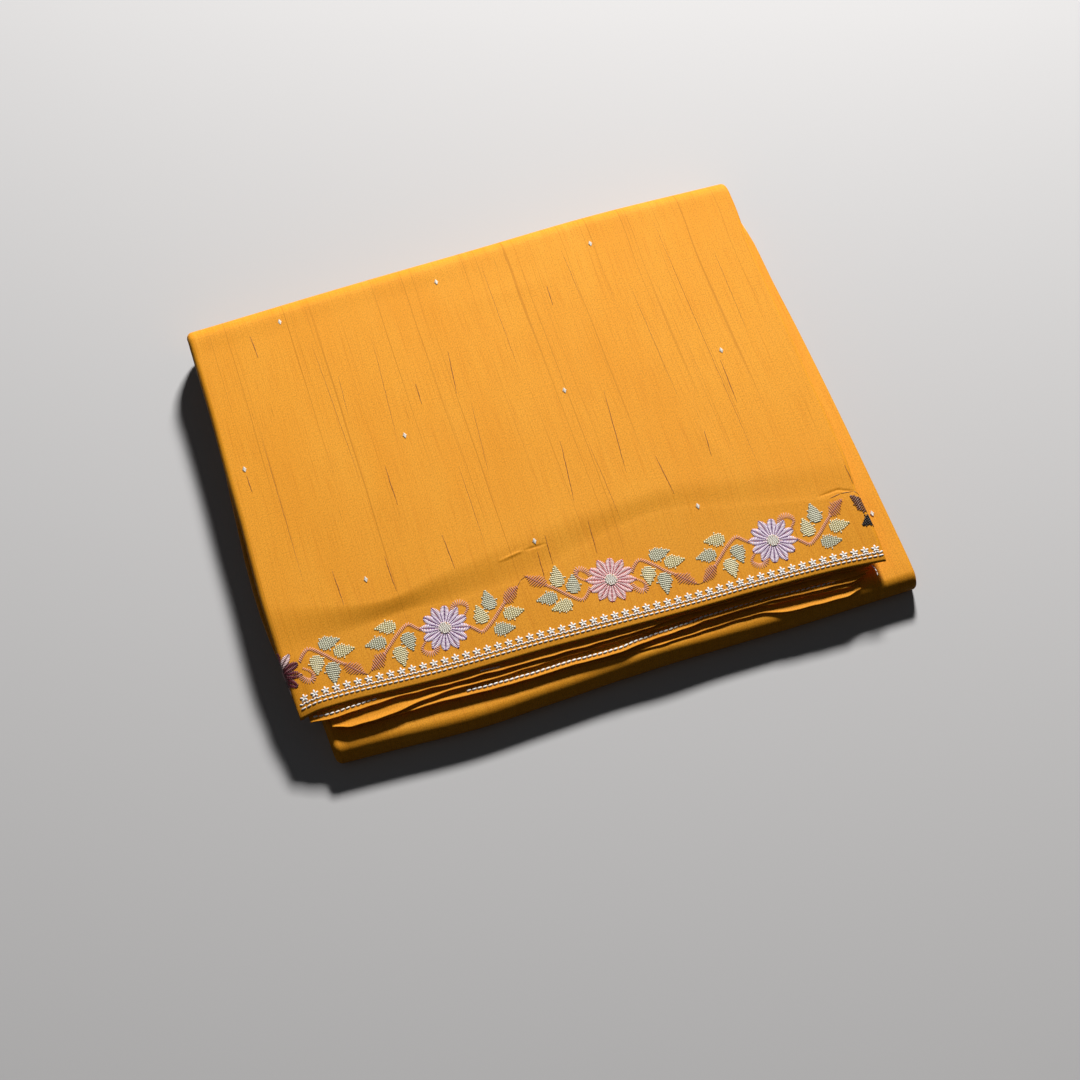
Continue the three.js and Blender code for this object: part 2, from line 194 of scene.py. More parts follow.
@dataclass(frozen=True)
class FoldedBundle:
    """The folded shape that all the cloth follows, as in the part's solids."""

    height: float = 34.0
    lower_height: float = 17.3
    back_bulge: float = 15.0
    edge_height_left: float = 27.2
    edge_height_right: float = 27.4
    hem_droop: float = 0.5
    flat_share: float = 0.72
    strip_back: float = -112.5
    strips_front: float = -152.0
    return_back: float = 136.0
    wall: float = 1.2
    front_bias: float = 1.15
    corner_curl: float = 2.7
    curl_start: float = -184.0
    curl_long: float = 14.0
    crest_height: float = 1.3
    crest_at: Spot = (32.0, -157.0)
    crest_size: Spot = (24.0, 6.0)
    settle: float = 0.15
    wrap_turn: float = math.radians(150)
    left_wrap: Wrap = Wrap(bulge=4.0, depth=8.3)
    right_wrap: Wrap = Wrap(bulge=2.2, depth=4.2)
    top_left: Line = Line(
        (-145, -198), (-120, -199.4), (-95, -200.8), (-60, -201.4), (-30, -200.7),
        (0, -199.6), (40, -199), (85, -197.7), (142, -197.2), (170, -196.8),
    )
    top_right: Line = Line(
        (-145, 182.9), (-128, 183.7), (-112, 183), (-93, 182.4), (-66, 184.4),
        (0, 184), (60, 183.6), (110, 183.3), (140, 185), (166, 185),
    )
    lower_left: Line = Line((-164, -184), (-60, -188), (60, -192), (170, -195.5))
    lower_right: Line = Line(
        (-164, 200), (-148, 200.6), (-113, 200.1), (-60, 198.9), (-5, 197.3),
        (46, 195.2), (85, 193), (120, 191.8), (136, 189.6), (152, 188.6), (170, 187.6),
    )
    left_peek: Line = Line((-100, 0), (-60, 2.4), (-20, 3), (20, 1.6), (50, 0))
    back_axis: Line = Line(
        (-197, 145), (-141, 147), (-72, 149.8), (-33, 150.8), (4, 151.8),
        (40, 153), (80, 154.1), (120, 154.2), (183, 152.4),
    )
    front_axis: Line = Line(
        (-184, -156.8), (-140, -158.6), (-93, -160.3), (-45, -158), (0, -155.6),
        (53, -154.5), (121, -153.9), (198, -152.1),
    )
    front_edge: Line = Line(
        (-198, -137.6), (-186, -136.4), (-166, -136.2), (-148, -137), (-126, -138.1),
        (-103, -138.9), (-44, -139), (-18, -139.6), (10, -140.2), (58, -141), (94, -141.1),
        (113, -141.4), (127, -141.8), (155, -143), (183, -145.6),
    )
    slope_top: Line = Line(
        (-198, -60), (-131, -78), (-89, -71), (-47, -64), (-5, -58),
        (35, -56), (76, -55), (102, -60), (183, -70),
    )
    slope_foot: Line = Line(
        (-198, -100), (-120, -90), (-82, -92), (-29, -90), (15, -78),
        (57, -72), (102, -82), (183, -100),
    )
    foot_height: Line = Line(
        (-198, 31), (-45, 31), (-5, 31.6), (45, 32.2), (95, 32.5), (183, 32.6),
    )
    creases: tuple[Crease, ...] = (
        Crease((-50, -74), (-32, -71), 1.0, 0.45),
        Crease((-36, -71.5), (-20, -71), 0.8, -0.35),
        Crease((158, -91.5), (172, -90.5), 0.8, -0.4),
        Crease((170, -90.5), (180, -94.5), 0.8, -0.4),
        Crease((-10, 118), (40, 122), 6.0, 0.25),
        Crease((100, -20), (112, -52), 5.0, 0.3),
    )

    @property
    def fold_radius(self) -> float:
        """Radius of the lower front fold."""
        return self.lower_height / 2

    def relief(self, x: float, y: float) -> float:
        """Height of the soft unevenness and the creases of the top panel.

        Args:
            x: of the place.
            y: of the place.

        Returns:
            The height, above or below zero.
        """
        waves = uneven(0.45, x / 90, y / 130, 3.7) + uneven(0.16, x / 26, y / 75, 8.1)
        near_edge = smooth((y - self.front_edge(x)) / 10)
        lines = sum(crease.at(x, y) for crease in self.creases)
        return waves * mix(0.4, 1, near_edge) + lines - self.settle

    def top_height(self, x: float, y: float, fine: bool = True) -> float:
        """Height of the outer face of the top panel.

        Args:
            x: of the place.
            y: of the place.
            fine: whether the soft unevenness and the curled corner are added.

        Returns:
            The height over the floor.
        """
        edge, foot, top = self.front_edge(x), self.slope_foot(x), self.slope_top(x)
        extra = self.relief(x, y) if fine else 0.0
        if y >= top:
            return self.height + extra
        foot_z = self.foot_height(x)
        if y >= foot:
            return mix(foot_z, self.height, smooth((y - foot) / (top - foot))) + extra
        along = (x - LEFT_END) / (RIGHT_END - LEFT_END)
        edge_z = mix(self.edge_height_left, self.edge_height_right, along)
        if fine:
            edge_z -= self.corner_curl * smooth((self.curl_start - x) / self.curl_long)
        share = max((y - edge) / (foot - edge), 0.0)
        droop = self.hem_droop * max(1 - share * 8, 0.0)
        return mix(edge_z, foot_z, share**0.8) - droop + extra

    def crest(self, x: float, y: float) -> float:
        """Height of the soft bump along the crest of the lower front fold."""
        (at_x, at_y), (long, deep) = self.crest_at, self.crest_size
        return self.crest_height * math.exp(-(((x - at_x) / long) ** 2) - ((y - at_y) / deep) ** 2)

    def lower_top(self, x: float, y: float) -> float:
        """Height of the upper face of the lower fold, round its front too.

        Args:
            x: of the place.
            y: of the place.

        Returns:
            The height over the floor.
        """
        over = min(y - self.front_axis(x), 0.0)
        round_height = math.sqrt(max(self.fold_radius**2 - over**2, 0.0))
        return self.fold_radius + round_height + self.crest(x, y)

    def loose_roof(self, x: float, y: float) -> float:
        """Height under the top panel, over the loose edges.

        Args:
            x: of the place.
            y: of the place.

        Returns:
            The height over the floor.
        """
        front_z = self.top_height(x, self.front_edge(x), fine=False)
        back_z = self.top_height(x, self.strip_back, fine=False)
        share = (y - self.strips_front) / (self.strip_back - self.strips_front)
        return mix(front_z, back_z, share) - self.wall

    def top_share(self, x: float, y: float) -> float:
        """Share of the top panel's path at which it reaches a place."""
        front, axis = self.front_edge(x), self.back_axis(x)
        return self.flat_share * ((y - front) / (axis - front)) ** (1 / self.front_bias)

    def top_path(self, x: float, share: float) -> Place:
        """Place on the top panel: over the top, then round the back to the floor.

        Args:
            x: of the place.
            share: of the path, from the front edge.

        Returns:
            The place, and the direction into the bundle there.
        """
        flat, axis = self.flat_share, self.back_axis(x)
        if share <= flat:
            y = mix(self.front_edge(x), axis, (share / flat) ** self.front_bias)
            rise = self.top_height(x, y + 0.5, False) - self.top_height(x, y - 0.5, False)
            size = math.hypot(1, rise)
            level = smooth((axis - y) / 12)
            z = mix(self.top_height(x, y, False), self.top_height(x, y), level)
            return Place(y, z, rise / size, -1 / size)
        turn = (share - flat) / (1 - flat) * math.pi
        sin, cos = math.sin(turn), math.cos(turn)
        half, bulge = self.height / 2, self.back_bulge
        size = math.hypot(sin / bulge, cos / half)
        soft = uneven(0.5, x / 60, turn, 1.3) * sin
        return Place(axis + (bulge + soft) * sin, half + half * cos,
                     -sin / bulge / size, -cos / half / size)

    def under_path(self, x: float, share: float) -> Place:
        """Place on the underside, from the back fold to the front one."""
        return Place(mix(self.back_axis(x) - 0.3, self.front_axis(x) + 0.3, share), 0, 0, 1)

    def front_path(self, x: float, share: float) -> Place:
        """Place on the lower front fold: round the front, then back over the package.

        Args:
            x: of the place.
            share: of the path, from the floor.

        Returns:
            The place, and the direction into the bundle there.
        """
        bend = 0.5
        axis, radius = self.front_axis(x), self.fold_radius
        if share <= bend:
            turn = share / bend * math.pi
            sin, cos = math.sin(turn), math.cos(turn)
            y = axis - (radius + uneven(0.7, x / 45, turn * 0.8, 5.2) * sin) * sin
            bump = self.crest(x, y) * smooth((turn - 1.2) / 0.8)
            return Place(y, radius - radius * cos + bump, sin, cos)
        back = (share - bend) / (1 - bend)
        dip = uneven(0.2, x / 70, back * 3, 9.4) - self.settle
        y = mix(axis, self.return_back, back)
        return Place(y, self.lower_height + dip * smooth(back * 12) + self.crest(x, y), 0, -1)

    def ends_at(self, y: float, z: float) -> Spot:
        """Left and right ends of the outer cloth at a place on its path.

        Args:
            y: of the place.
            z: of the place.

        Returns:
            The two places along the length.
        """
        low = self.lower_height * 0.6
        lift = smooth((z - low) / (self.height * 0.8 - low))
        upper = lift if y > self.return_back else float(z > self.lower_height + 1)
        return (
            mix(self.lower_left(y), self.top_left(y), upper),
            mix(self.lower_right(y), self.top_right(y), upper),
        )

    def wrap_share(self, y: float, z: float) -> float:
        """Share of its full depth that the wrap has: less near the loose edge.

        Args:
            y: of the place.
            z: of the place.

        Returns:
            The share.
        """
        if z <= self.lower_height + 1:
            return 1.0
        tall = self.top_height(0, y, False) - self.lower_height
        near = mix(0.42, 1, smooth((y - self.front_edge(0)) / 26))
        return near * tall / (self.height - self.lower_height)

    def on_top(self, x: float, y: float, lift: float) -> Point:
        """Point above the top panel, carried on round its left and right wraps.

        Args:
            x: place along the length of the cloth, measured as if it lay flat.
            y: of the place.
            lift: height above the cloth.

        Returns:
            The point.
        """
        z = self.top_height(x, y)
        left = self.top_left(y) + self.left_wrap.bulge
        right = self.top_right(y) - self.right_wrap.bulge
        for over, wrap, edge, way in (
            (left - x, self.left_wrap, left, -1),
            (x - right, self.right_wrap, right, 1),
        ):
            if over > 0:
                half = wrap.depth * self.wrap_share(y, z) / 2
                turn = min(over / ((wrap.bulge + half) / 2), self.wrap_turn)
                sin, cos = math.sin(turn), math.cos(turn)
                out = wrap.bulge * sin + lift * sin
                return edge + way * out, y, z - (half * (1 - cos) - lift * cos)
        return x, y, z + lift


BUNDLE = FoldedBundle()


def rim(wide: int, tall: int) -> list[tuple[int, int]]:
    """Columns and rows met on a walk round a grid, from its first corner.

    Args:
        wide: number of the last column.
        tall: number of the last row.

    Returns:
        The (column, row) pairs, each once.
    """
    return (
        [(i, 0) for i in range(wide)]
        + [(wide, j) for j in range(tall)]
        + [(i, tall) for i in range(wide, 0, -1)]
        + [(0, j) for j in range(tall, 0, -1)]
    )


@dataclass
class Shape:
    """Points in millimetres, faces and cloth coordinates of a mesh in the making."""

    points: list[Point] = field(default_factory=list)
    faces: list[Face] = field(default_factory=list)
    cloth: list[Spot] = field(default_factory=list)

    def add_net(self, start: int, columns: int, rows: int, up: bool) -> None:
        """Add the faces of a grid of points.

        Args:
            start: number of its first point.
            columns: how many it has.
            rows: how many it has.
            up: whether the faces look up, where columns run to +X and rows to +Y.
        """
        for j in range(rows - 1):
            for i in range(columns - 1):
                a = start + j * columns + i
                face = (a, a + 1, a + columns + 1, a + columns)
                self.faces.append(face if up else face[:1] + face[:0:-1])

    def add_wall(self, low: Sequence[int], high: Sequence[int]) -> None:
        """Add a closed wall of faces between two rings of points.

        Args:
            low: numbers of the points of the first ring.
            high: those of the second, in the same order.
        """
        for n in range(len(low)):
            self.faces.append((low[n - 1], low[n], high[n], high[n - 1]))

    def to_object(self, name: str) -> bpy.types.Object:
        """Make the object, in metres, with its cloth coordinates as a UV map.

        Args:
            name: of the object.

        Returns:
            The object, shaded smooth.
        """
        mesh = bpy.data.meshes.new(name)
        mesh.from_pydata([tuple(c * MM for c in p) for p in self.points], [], self.faces)
        if self.cloth:
            layer = mesh.uv_layers.new(name="cloth")
            uvs = [0.0] * (2 * len(mesh.loops))
            for loop in mesh.loops:
                u, v = self.cloth[loop.vertex_index]
                uvs[2 * loop.index] = u * MM
                uvs[2 * loop.index + 1] = v * MM
            layer.data.foreach_set("uv", uvs)
        mesh.polygons.foreach_set("use_smooth", [True] * len(mesh.polygons))
        mesh.update()
        item = bpy.data.objects.new(name, mesh)
        bpy.context.scene.collection.objects.link(item)
        return item


def grid_normals(rows: Grid) -> Grid:
    """Directions out of a grid of points, from its neighbours.

    Args:
        rows: the points, row by row.

    Returns:
        One direction for each point.
    """
    tall, wide = len(rows) - 1, len(rows[0]) - 1
    result = []
    for j, row in enumerate(rows):
        ahead, behind = rows[min(j + 1, tall)], rows[max(j - 1, 0)]
        result.append([
            (row[min(i + 1, wide)] - row[max(i - 1, 0)])
            .cross(ahead[i] - behind[i])
            .normalized()
            for i in range(wide + 1)
        ])
    return result


def shell(rows: Grid, thickness: float) -> Shape:
    """Thin closed shell between a grid of outer points and the same grid moved inwards.

    Args:
        rows: outer points, row by row; columns run to +X where the outside faces up.
        thickness: of the cloth.

    Returns:
        The shape, with cloth coordinates measured along its columns and rows.
    """
    inner = [
        [point - normal * thickness for point, normal in zip(row, normals)]
        for row, normals in zip(rows, grid_normals(rows))
    ]
    tall, wide = len(rows), len(rows[0])
    middle_row, middle_column = rows[tall // 2], [row[wide // 2] for row in rows]
    across, along = (
        list(accumulate(((b - a).length for a, b in pairwise(line)), initial=0.0))
        for line in (middle_row, middle_column)
    )
    shape = Shape()
    for grid in (rows, inner):
        for row, v in zip(grid, along):
            shape.points += [tuple(point) for point in row]
            shape.cloth += [(u, v) for u in across]
    layer = tall * wide
    shape.add_net(0, wide, tall, True)
    shape.add_net(layer, wide, tall, False)
    ring = [j * wide + i for i, j in rim(wide - 1, tall - 1)]
    shape.add_wall([layer + number for number in ring], ring)
    return shape


class NodeSheet:
    """Lays out the nodes of one material."""

    def __init__(self, name: str) -> None:
        """Start an empty material with its output node.

        Args:
            name: of the material.
        """
        self.material = bpy.data.materials.new(name)
        self.material.use_nodes = True
        self.tree = self.material.node_tree
        self.tree.nodes.clear()
        self.output = self.tree.nodes.new("ShaderNodeOutputMaterial")

    def add(self, kind: str, **settings: object) -> bpy.types.Node:
        """Add a node.

        Args:
            kind: of the node.
            settings: its properties, or its inputs by their labels.

        Returns:
            The node.
        """
        node = self.tree.nodes.new(kind)
        for key, value in settings.items():
            label = key.replace("_", " ")
            socket = next((s for s in node.inputs if s.name.lower() == label), None)
            if socket is not None and not hasattr(node, key):
                socket.default_value = value
            else:
                setattr(node, key, value)
        return node

    def link(self, source: Socket, target: Socket) -> None:
        """Join an output to an input."""
        self.tree.links.new(source, target)

    def stretched(self, place: Socket, scale: Point) -> Socket:
        """Coordinates scaled by a Mapping node.

        Args:
            place: the coordinates.
            scale: along each axis.

        Returns:
            The scaled coordinates.
        """
        node = self.add("ShaderNodeMapping")
        node.inputs["Scale"].default_value = scale
        self.link(place, node.inputs["Vector"])
        return node.outputs["Vector"]

    def noise(
        self, place: Socket, detail: float, roughness: float, scale: float = 1.0
    ) -> Socket:
        """Grey value of a noise.

        Args:
            place: its coordinates.
            detail: how many finer layers it has.
            roughness: how strong those are.
            scale: of the coordinates.

        Returns:
            The value.
        """
        node = self.add("ShaderNodeTexNoise", scale=scale, detail=detail, roughness=roughness)
        self.link(place, node.inputs["Vector"])
        return node.outputs["Fac"]

    def bands(self, place: Socket, direction: str, distortion: float) -> Socket:
        """Grey value of even waves.

        Args:
            place: their coordinates.
            direction: axis across the waves.
            distortion: how uneven they are.

        Returns:
            The value.
        """
        node = self.add("ShaderNodeTexWave", scale=1.0, distortion=distortion)
        node.bands_direction = direction
        self.link(place, node.inputs["Vector"])
        return node.outputs["Fac"]

    def ramp(self, source: Socket, stops: Sequence[Spot]) -> Socket:
        """Grey value of a colour ramp.

        Args:
            source: the value that it reads.
            stops: its two (place, value) stops.

        Returns:
            The value.
        """
        node = self.add("ShaderNodeValToRGB")
        for element, (place, value) in zip(node.color_ramp.elements, stops):
            element.position = place
            element.color = (value, value, value, 1)
        self.link(source, node.inputs["Fac"])
        return node.outputs["Color"]

    def blend(self, share: Socket, first: Socket | Colour, second: Colour) -> Socket:
        """Colour mixed from two.

        Args:
            share: of the second.
            first: a socket or a plain colour.
            second: a plain colour.

        Returns:
            The mixed colour.
        """
        node = self.add("ShaderNodeMix", data_type="RGBA", blend_type="MIX")
        self.link(share, node.inputs["Factor"])
        sockets = [s for s in node.inputs if s.type == "RGBA"]
        for socket, value in zip(sockets, (first, second)):
            if isinstance(value, tuple):
                socket.default_value = (*value, 1)
            else:
                self.link(value, socket)
        return next(s for s in node.outputs if s.type == "RGBA")

    def maths(self, way: str, first: Socket, second: Socket | float) -> Socket:
        """Result of a Math node.

        Args:
            way: its operation.
            first: first value.
            second: second value, a socket or a number.

        Returns:
            The result.
        """
        node = self.add("ShaderNodeMath", operation=way)
        self.link(first, node.inputs[0])
        if isinstance(second, float):
            node.inputs[1].default_value = second
        else:
            self.link(second, node.inputs[1])
        return node.outputs[0]

    def finish(
        self, colour: Socket, relief: Socket, rise: Spot, roughness: float, gloss: float
    ) -> bpy.types.Material:
        """Finish the material.

        Args:
            colour: of its surface.
            relief: height of its grain.
            rise: strength of that grain, and its distance in metres.
            roughness: of the surface.
            gloss: specular level of the surface.

        Returns:
            The finished material.
        """
        bump = self.add("ShaderNodeBump", strength=rise[0], distance=rise[1])
        self.link(relief, bump.inputs["Height"])
        surface = self.add("ShaderNodeBsdfPrincipled")
        surface.inputs["Roughness"].default_value = roughness
        surface.inputs["Specular IOR Level"].default_value = gloss
        self.link(colour, surface.inputs["Base Color"])
        self.link(bump.outputs["Normal"], surface.inputs["Normal"])
        self.link(surface.outputs["BSDF"], self.output.inputs["Surface"])
        return self.material


class Lie(Enum):
    """Where a pattern's coordinates come from."""

    ON_CLOTH = "UV"
    IN_SPACE = "Object"


@dataclass(frozen=True)
class Mottle:
    """One layer of uneven colour, laid over those before it.

    Its noise is stretched by scale, the ramp's stops give its strength, and tint is the
    share of the silk's deep colour that it brings, or 0 for the silk's pale colour.
    """

    scale: Point
    detail: float
    roughness: float
    stops: tuple[Spot, Spot]
    tint: float


CLOUDS = Mottle((26, 9, 16), 2.0, 0.5, ((0.35, 0.0), (0.65, 0.7)), 0)
YARNS = Mottle((1300, 22, 400), 2.0, 0.6, ((0.34, 0.5), (0.5, 0.0)), 1.0)
LONG_LINES = Mottle((600, 2.2, 90), 1.0, 0.5, ((0.29, 0.55), (0.34, 0.0)), 0.7)
SHORT_SLUBS = Mottle((620, 20, 160), 2.0, 0.7, ((0.22, 0.7), (0.32, 0.0)), 0.55)
GRAIN = Mottle((1500, 900, 1200), 2.0, 0.65, ((0.36, 0.55), (0.58, 0.0)), 0.72)


@dataclass(frozen=True)
class SilkFinish:
    """Slubbed raw silk: a fine crossed weave, thick and thin yarns, a soft sheen."""

    name: str
    colour: Colour
    deep: Colour
    pale: Colour
    lie: Lie = Lie.ON_CLOTH
    yarn: float = 0.55
    roughness: float = 0.5
    gloss: float = 0.08
    rise: Spot = (0.55, 0.00012)
    yarn_relief: float = 1.6
    layer_pitch: float = 0.0

    def make(self) -> bpy.types.Material:
        """Build the material.

        Returns:
            The finished material.
        """

        def wave_scale(pitch: float) -> float:
            """Scale of a wave texture whose bands lie at a pitch."""
            return math.pi / 10 / (pitch * MM)

        sheet = NodeSheet(self.name)
        place = sheet.add("ShaderNodeTexCoord").outputs[self.lie.value]
        colour, values = self.colour, {}
        for layer in (CLOUDS, YARNS, LONG_LINES, SHORT_SLUBS, GRAIN):
            spread = sheet.stretched(place, layer.scale)
            values[layer] = sheet.noise(spread, layer.detail, layer.roughness)
            tint = tuple(c * layer.tint for c in self.deep) if layer.tint else self.pale
            colour = sheet.blend(sheet.ramp(values[layer], layer.stops), colour, tint)
        scale = wave_scale(self.yarn)
        warp = sheet.bands(sheet.stretched(place, (scale, 900, 900)), "X", 0.6)
        weft = sheet.bands(sheet.stretched(place, (900, scale, 900)), "Y", 0.8)
        weave = sheet.maths("MAXIMUM", warp, weft)
        relief = sheet.maths(
            "ADD", weave, sheet.maths("MULTIPLY", values[YARNS], self.yarn_relief))
        if self.layer_pitch:
            stacked = sheet.stretched(place, (6, 6, wave_scale(self.layer_pitch)))
            relief = sheet.maths("ADD", relief, sheet.bands(stacked, "Z", 1.5))
        return sheet.finish(colour, relief, self.rise, self.roughness, self.gloss)


@dataclass(frozen=True)
class ThreadFinish:
    """Embroidery thread: one colour that varies a little, with a satin gloss."""

    name: str
    colour: Colour
    darker: float
    roughness: float
    gloss: float = 0.4
    rise: Spot = (0.5, 0.00008)

    def make(self) -> bpy.types.Material:
        """Build the material.

        Returns:
            The finished material.
        """
        sheet = NodeSheet(self.name)
        place = sheet.add("ShaderNodeTexCoord").outputs[Lie.IN_SPACE.value]
        share = sheet.ramp(sheet.noise(place, 2.0, 0.6, 900.0), ((0.35, 0.0), (0.65, 1.0)))
        colour = sheet.blend(share, tuple(c * self.darker for c in self.colour), self.colour)
        twist = sheet.noise(place, 1.0, 0.5, 2600.0)
        return sheet.finish(colour, twist, self.rise, self.roughness, self.gloss)


OUTER_SILK = SilkFinish(
    "marigold_silk",
    from_srgb(246, 165, 42), from_srgb(226, 142, 28), from_srgb(251, 175, 52),
)
# The loose edges and the layered ends are the same silk as the outer cloth, coloured darker:
# painted shade, a little on the edges and more on the layered ends.
SHADED_EDGE_SILK = SilkFinish(
    "marigold_edge_silk_shaded",
    from_srgb(242, 159, 36), from_srgb(222, 136, 22), from_srgb(248, 170, 46),
)
SHADED_INNER_SILK = SilkFinish(
    "marigold_layered_silk_shaded",
    from_srgb(234, 151, 32), from_srgb(206, 120, 20), from_srgb(244, 164, 42),
    lie=Lie.IN_SPACE, layer_pitch=0.53,
)
SLUB_YARN = ThreadFinish("slub_yarn", from_srgb(154, 82, 18), 0.7, 0.6)
IVORY = ThreadFinish("ivory_thread", from_srgb(255, 250, 244), 0.94, 0.42)
SILVER = ThreadFinish("silver_thread", from_srgb(250, 246, 236), 0.86, 0.3)
# Colour, from 0 to 255, and how dark the thread's darker fibres are.
BORDER_COLOURS = {
    "lilac": ((255, 240, 255), 0.94),
    "violet": ((142, 96, 156), 0.8),
    "rose": ((255, 222, 222), 0.94),
    "coral": ((212, 112, 122), 0.84),
    # Maroon and plum colour the flower on the shaded left wrap: partly painted shade.
    "maroon": ((84, 24, 36), 0.75),
    "plum": ((118, 46, 60), 0.8),
    "cream": ((250, 244, 234), 0.9),
    "leaf": ((255, 248, 208), 0.92),
    "sage": ((230, 230, 206), 0.88),
    "mauve": ((208, 140, 128), 0.82),
    "blush": ((238, 178, 158), 0.84),
    # Umber paints the shade of the right fold on a leaf; bark does so on another leaf and also
    # colours the loose brown threads.
    "umber_shade": ((34, 22, 16), 0.7),
    "bark_and_shade": ((122, 74, 48), 0.75),
    # Olive and ash: darker grounds under the leaf stitches, showing between them as painted shade.
    "olive": ((188, 170, 108), 0.8),
    "ash": ((166, 160, 126), 0.8),
}
BORDER_THREADS = {
    name: ThreadFinish(f"{name}_thread", from_srgb(*colour), darker, 0.42)
    for name, (colour, darker) in BORDER_COLOURS.items()
}


class Workshop:
    """Dresses finished pieces: material, body and replaced node."""

    def __init__(self) -> None:
        """Start with no material made."""
        self.made: dict[str, bpy.types.Material] = {}

    def material(self, finish: SilkFinish | ThreadFinish) -> bpy.types.Material:
        """Material of a finish, made once.

        Args:
            finish: of the piece.

        Returns:
            The material.
        """
        if finish.name not in self.made:
            self.made[finish.name] = finish.make()
        return self.made[finish.name]

    def dress(
        self,
        item: bpy.types.Object,
        finish: SilkFinish | ThreadFinish,
        node: str | None = None,
    ) -> None:
        """Give a piece its material and its place in the model.

        Args:
            item: the finished piece.
            finish: its finish.
            node: the CAD node that it replaces, if it replaces one.
        """
        item.data.materials.clear()
        item.data.materials.append(self.material(finish))
        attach(item, "root")
        if node:
            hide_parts(node)
        LOG.info("%s: %d faces", item.name, len(item.data.polygons))


SHOP = Workshop()

PathCall = Callable[[float, float], Place]


@dataclass
class OuterCloth:
    """The outer layer: top panel, underside and lower front fold, one cloth."""

    thickness: float = 0.8
    columns: int = 116
    left_turns: tuple[int, ...] = (160, 148, 136, 124, 112, 100, 88, 76, 64, 52, 40, 28, 16, 7, 0)
    right_turns: tuple[int, ...] = (160, 140, 120, 100, 80, 60, 40, 20, 0)
    cut_across: float = 402.0
    left_sample: float = -190.0
    right_sample: float = 188.0
    inner_start: float = -196.0
    inner_long: float = 377.0
    row_step: float = 0.5
    column_step: float = 0.8
    fine_rows: tuple[Point, ...] = ((-35, -80, -66), (170, -97, -88))
    fine_columns: tuple[Spot, ...] = ((-55, -15), (154, 181))

    def creased(self, shares: list[float], spans: Sequence[Point]) -> list[float]:
        """Add closer steps to a list of shares.

        Args:
            shares: evenly spaced, in order.
            spans: first share, last share and step of each closer stretch.

        Returns:
            All the shares in order, with no two nearly the same.
        """
        extra = [
            first + k * step
            for first, last, step in spans
            for k in range(int((last - first) / step) + 1)
        ]
        kept = [share for share in shares if not any(a < share < b for a, b, _ in spans)]
        return sorted(kept + extra)

    def top_rows(self, rows: int) -> list[float]:
        """Shares of the top panel's rows, closer together where it is creased.

        Args:
            rows: number of even steps that it starts from.

        Returns:
            The shares in order.
        """
        spans = []
        for x, near, far in self.fine_rows:
            first, last = BUNDLE.top_share(x, near), BUNDLE.top_share(x, far)
            spans.append((first, last, (last - first) / (far - near) * self.row_step))
        return self.creased(evenly(rows), sorted(spans))

    def column_shares(self) -> list[float]:
        """Shares of the columns between the wraps, closer together at the creases.

        Returns:
            The shares in order.
        """
        start, long = self.inner_start, self.inner_long
        spans = [
            ((a - start) / long, (b - start) / long, self.column_step / long)
            for a, b in self.fine_columns
        ]
        return self.creased(evenly(self.columns)[1:-1], spans)

    def row(self, path: PathCall, share: float) -> list[Vector]:
        """One row of the cloth: round the left end, over, round the right end.

        Args:
            path: of the stretch across the length.
            share: of the path at which the row lies.

        Returns:
            Its points.
        """
        middle, at_left, at_right = (
            path(x, share) for x in (0, self.left_sample, self.right_sample))
        deep = BUNDLE.wrap_share(middle.y, middle.z)
        left = BUNDLE.ends_at(at_left.y, at_left.z)[0]
        right = BUNDLE.ends_at(at_right.y, at_right.z)[1]
        left_wrap, right_wrap = BUNDLE.left_wrap, BUNDLE.right_wrap
        first, last = left + left_wrap.bulge, right - right_wrap.bulge
        turns = [left_wrap.turned(degrees, deep) for degrees in self.left_turns]
        along = [(left + back, sink) for back, sink in turns]
        along += [(mix(first, last, part), 0.0) for part in self.column_shares()]
        turns = [right_wrap.turned(degrees, deep) for degrees in reversed(self.right_turns)]
        along += [(right - back, sink) for back, sink in turns]
        points = []
        for x, sink in along:
            place = path(x, share)
            points.append(Vector((x, place.y + place.in_y * sink, place.z + place.in_z * sink)))
        return points

    def stretch(self, name: str, path: PathCall, rows: list[float]) -> None:
        """Build and dress one stretch of the cloth.

        Args:
            name: of the stretch, which is also its CAD node.
            path: of the stretch across the length.
            rows: shares of the path at which the rows lie.
        """
        grid = [self.row(path, share) for share in rows]
        item = shell(grid, self.thickness).to_object(f"{name}_cloth")
        SHOP.dress(item, OUTER_SILK, name)

    def build(self) -> None:
        """Build the three stretches."""
        self.stretch("top_panel", BUNDLE.top_path, self.top_rows(130))
        self.stretch("under_panel", BUNDLE.under_path, evenly(24))
        self.stretch("front_fold", BUNDLE.front_path, evenly(64))


@dataclass(frozen=True)
class EdgeCut:
    """A loose edge: its node, its level in the stack, its ends and its front line."""

    node: str
    left: float
    right: float
    level: Line
    front: Line
    wave: float = 0.25
    seed: float = 0.0
    sag: float = 0.5


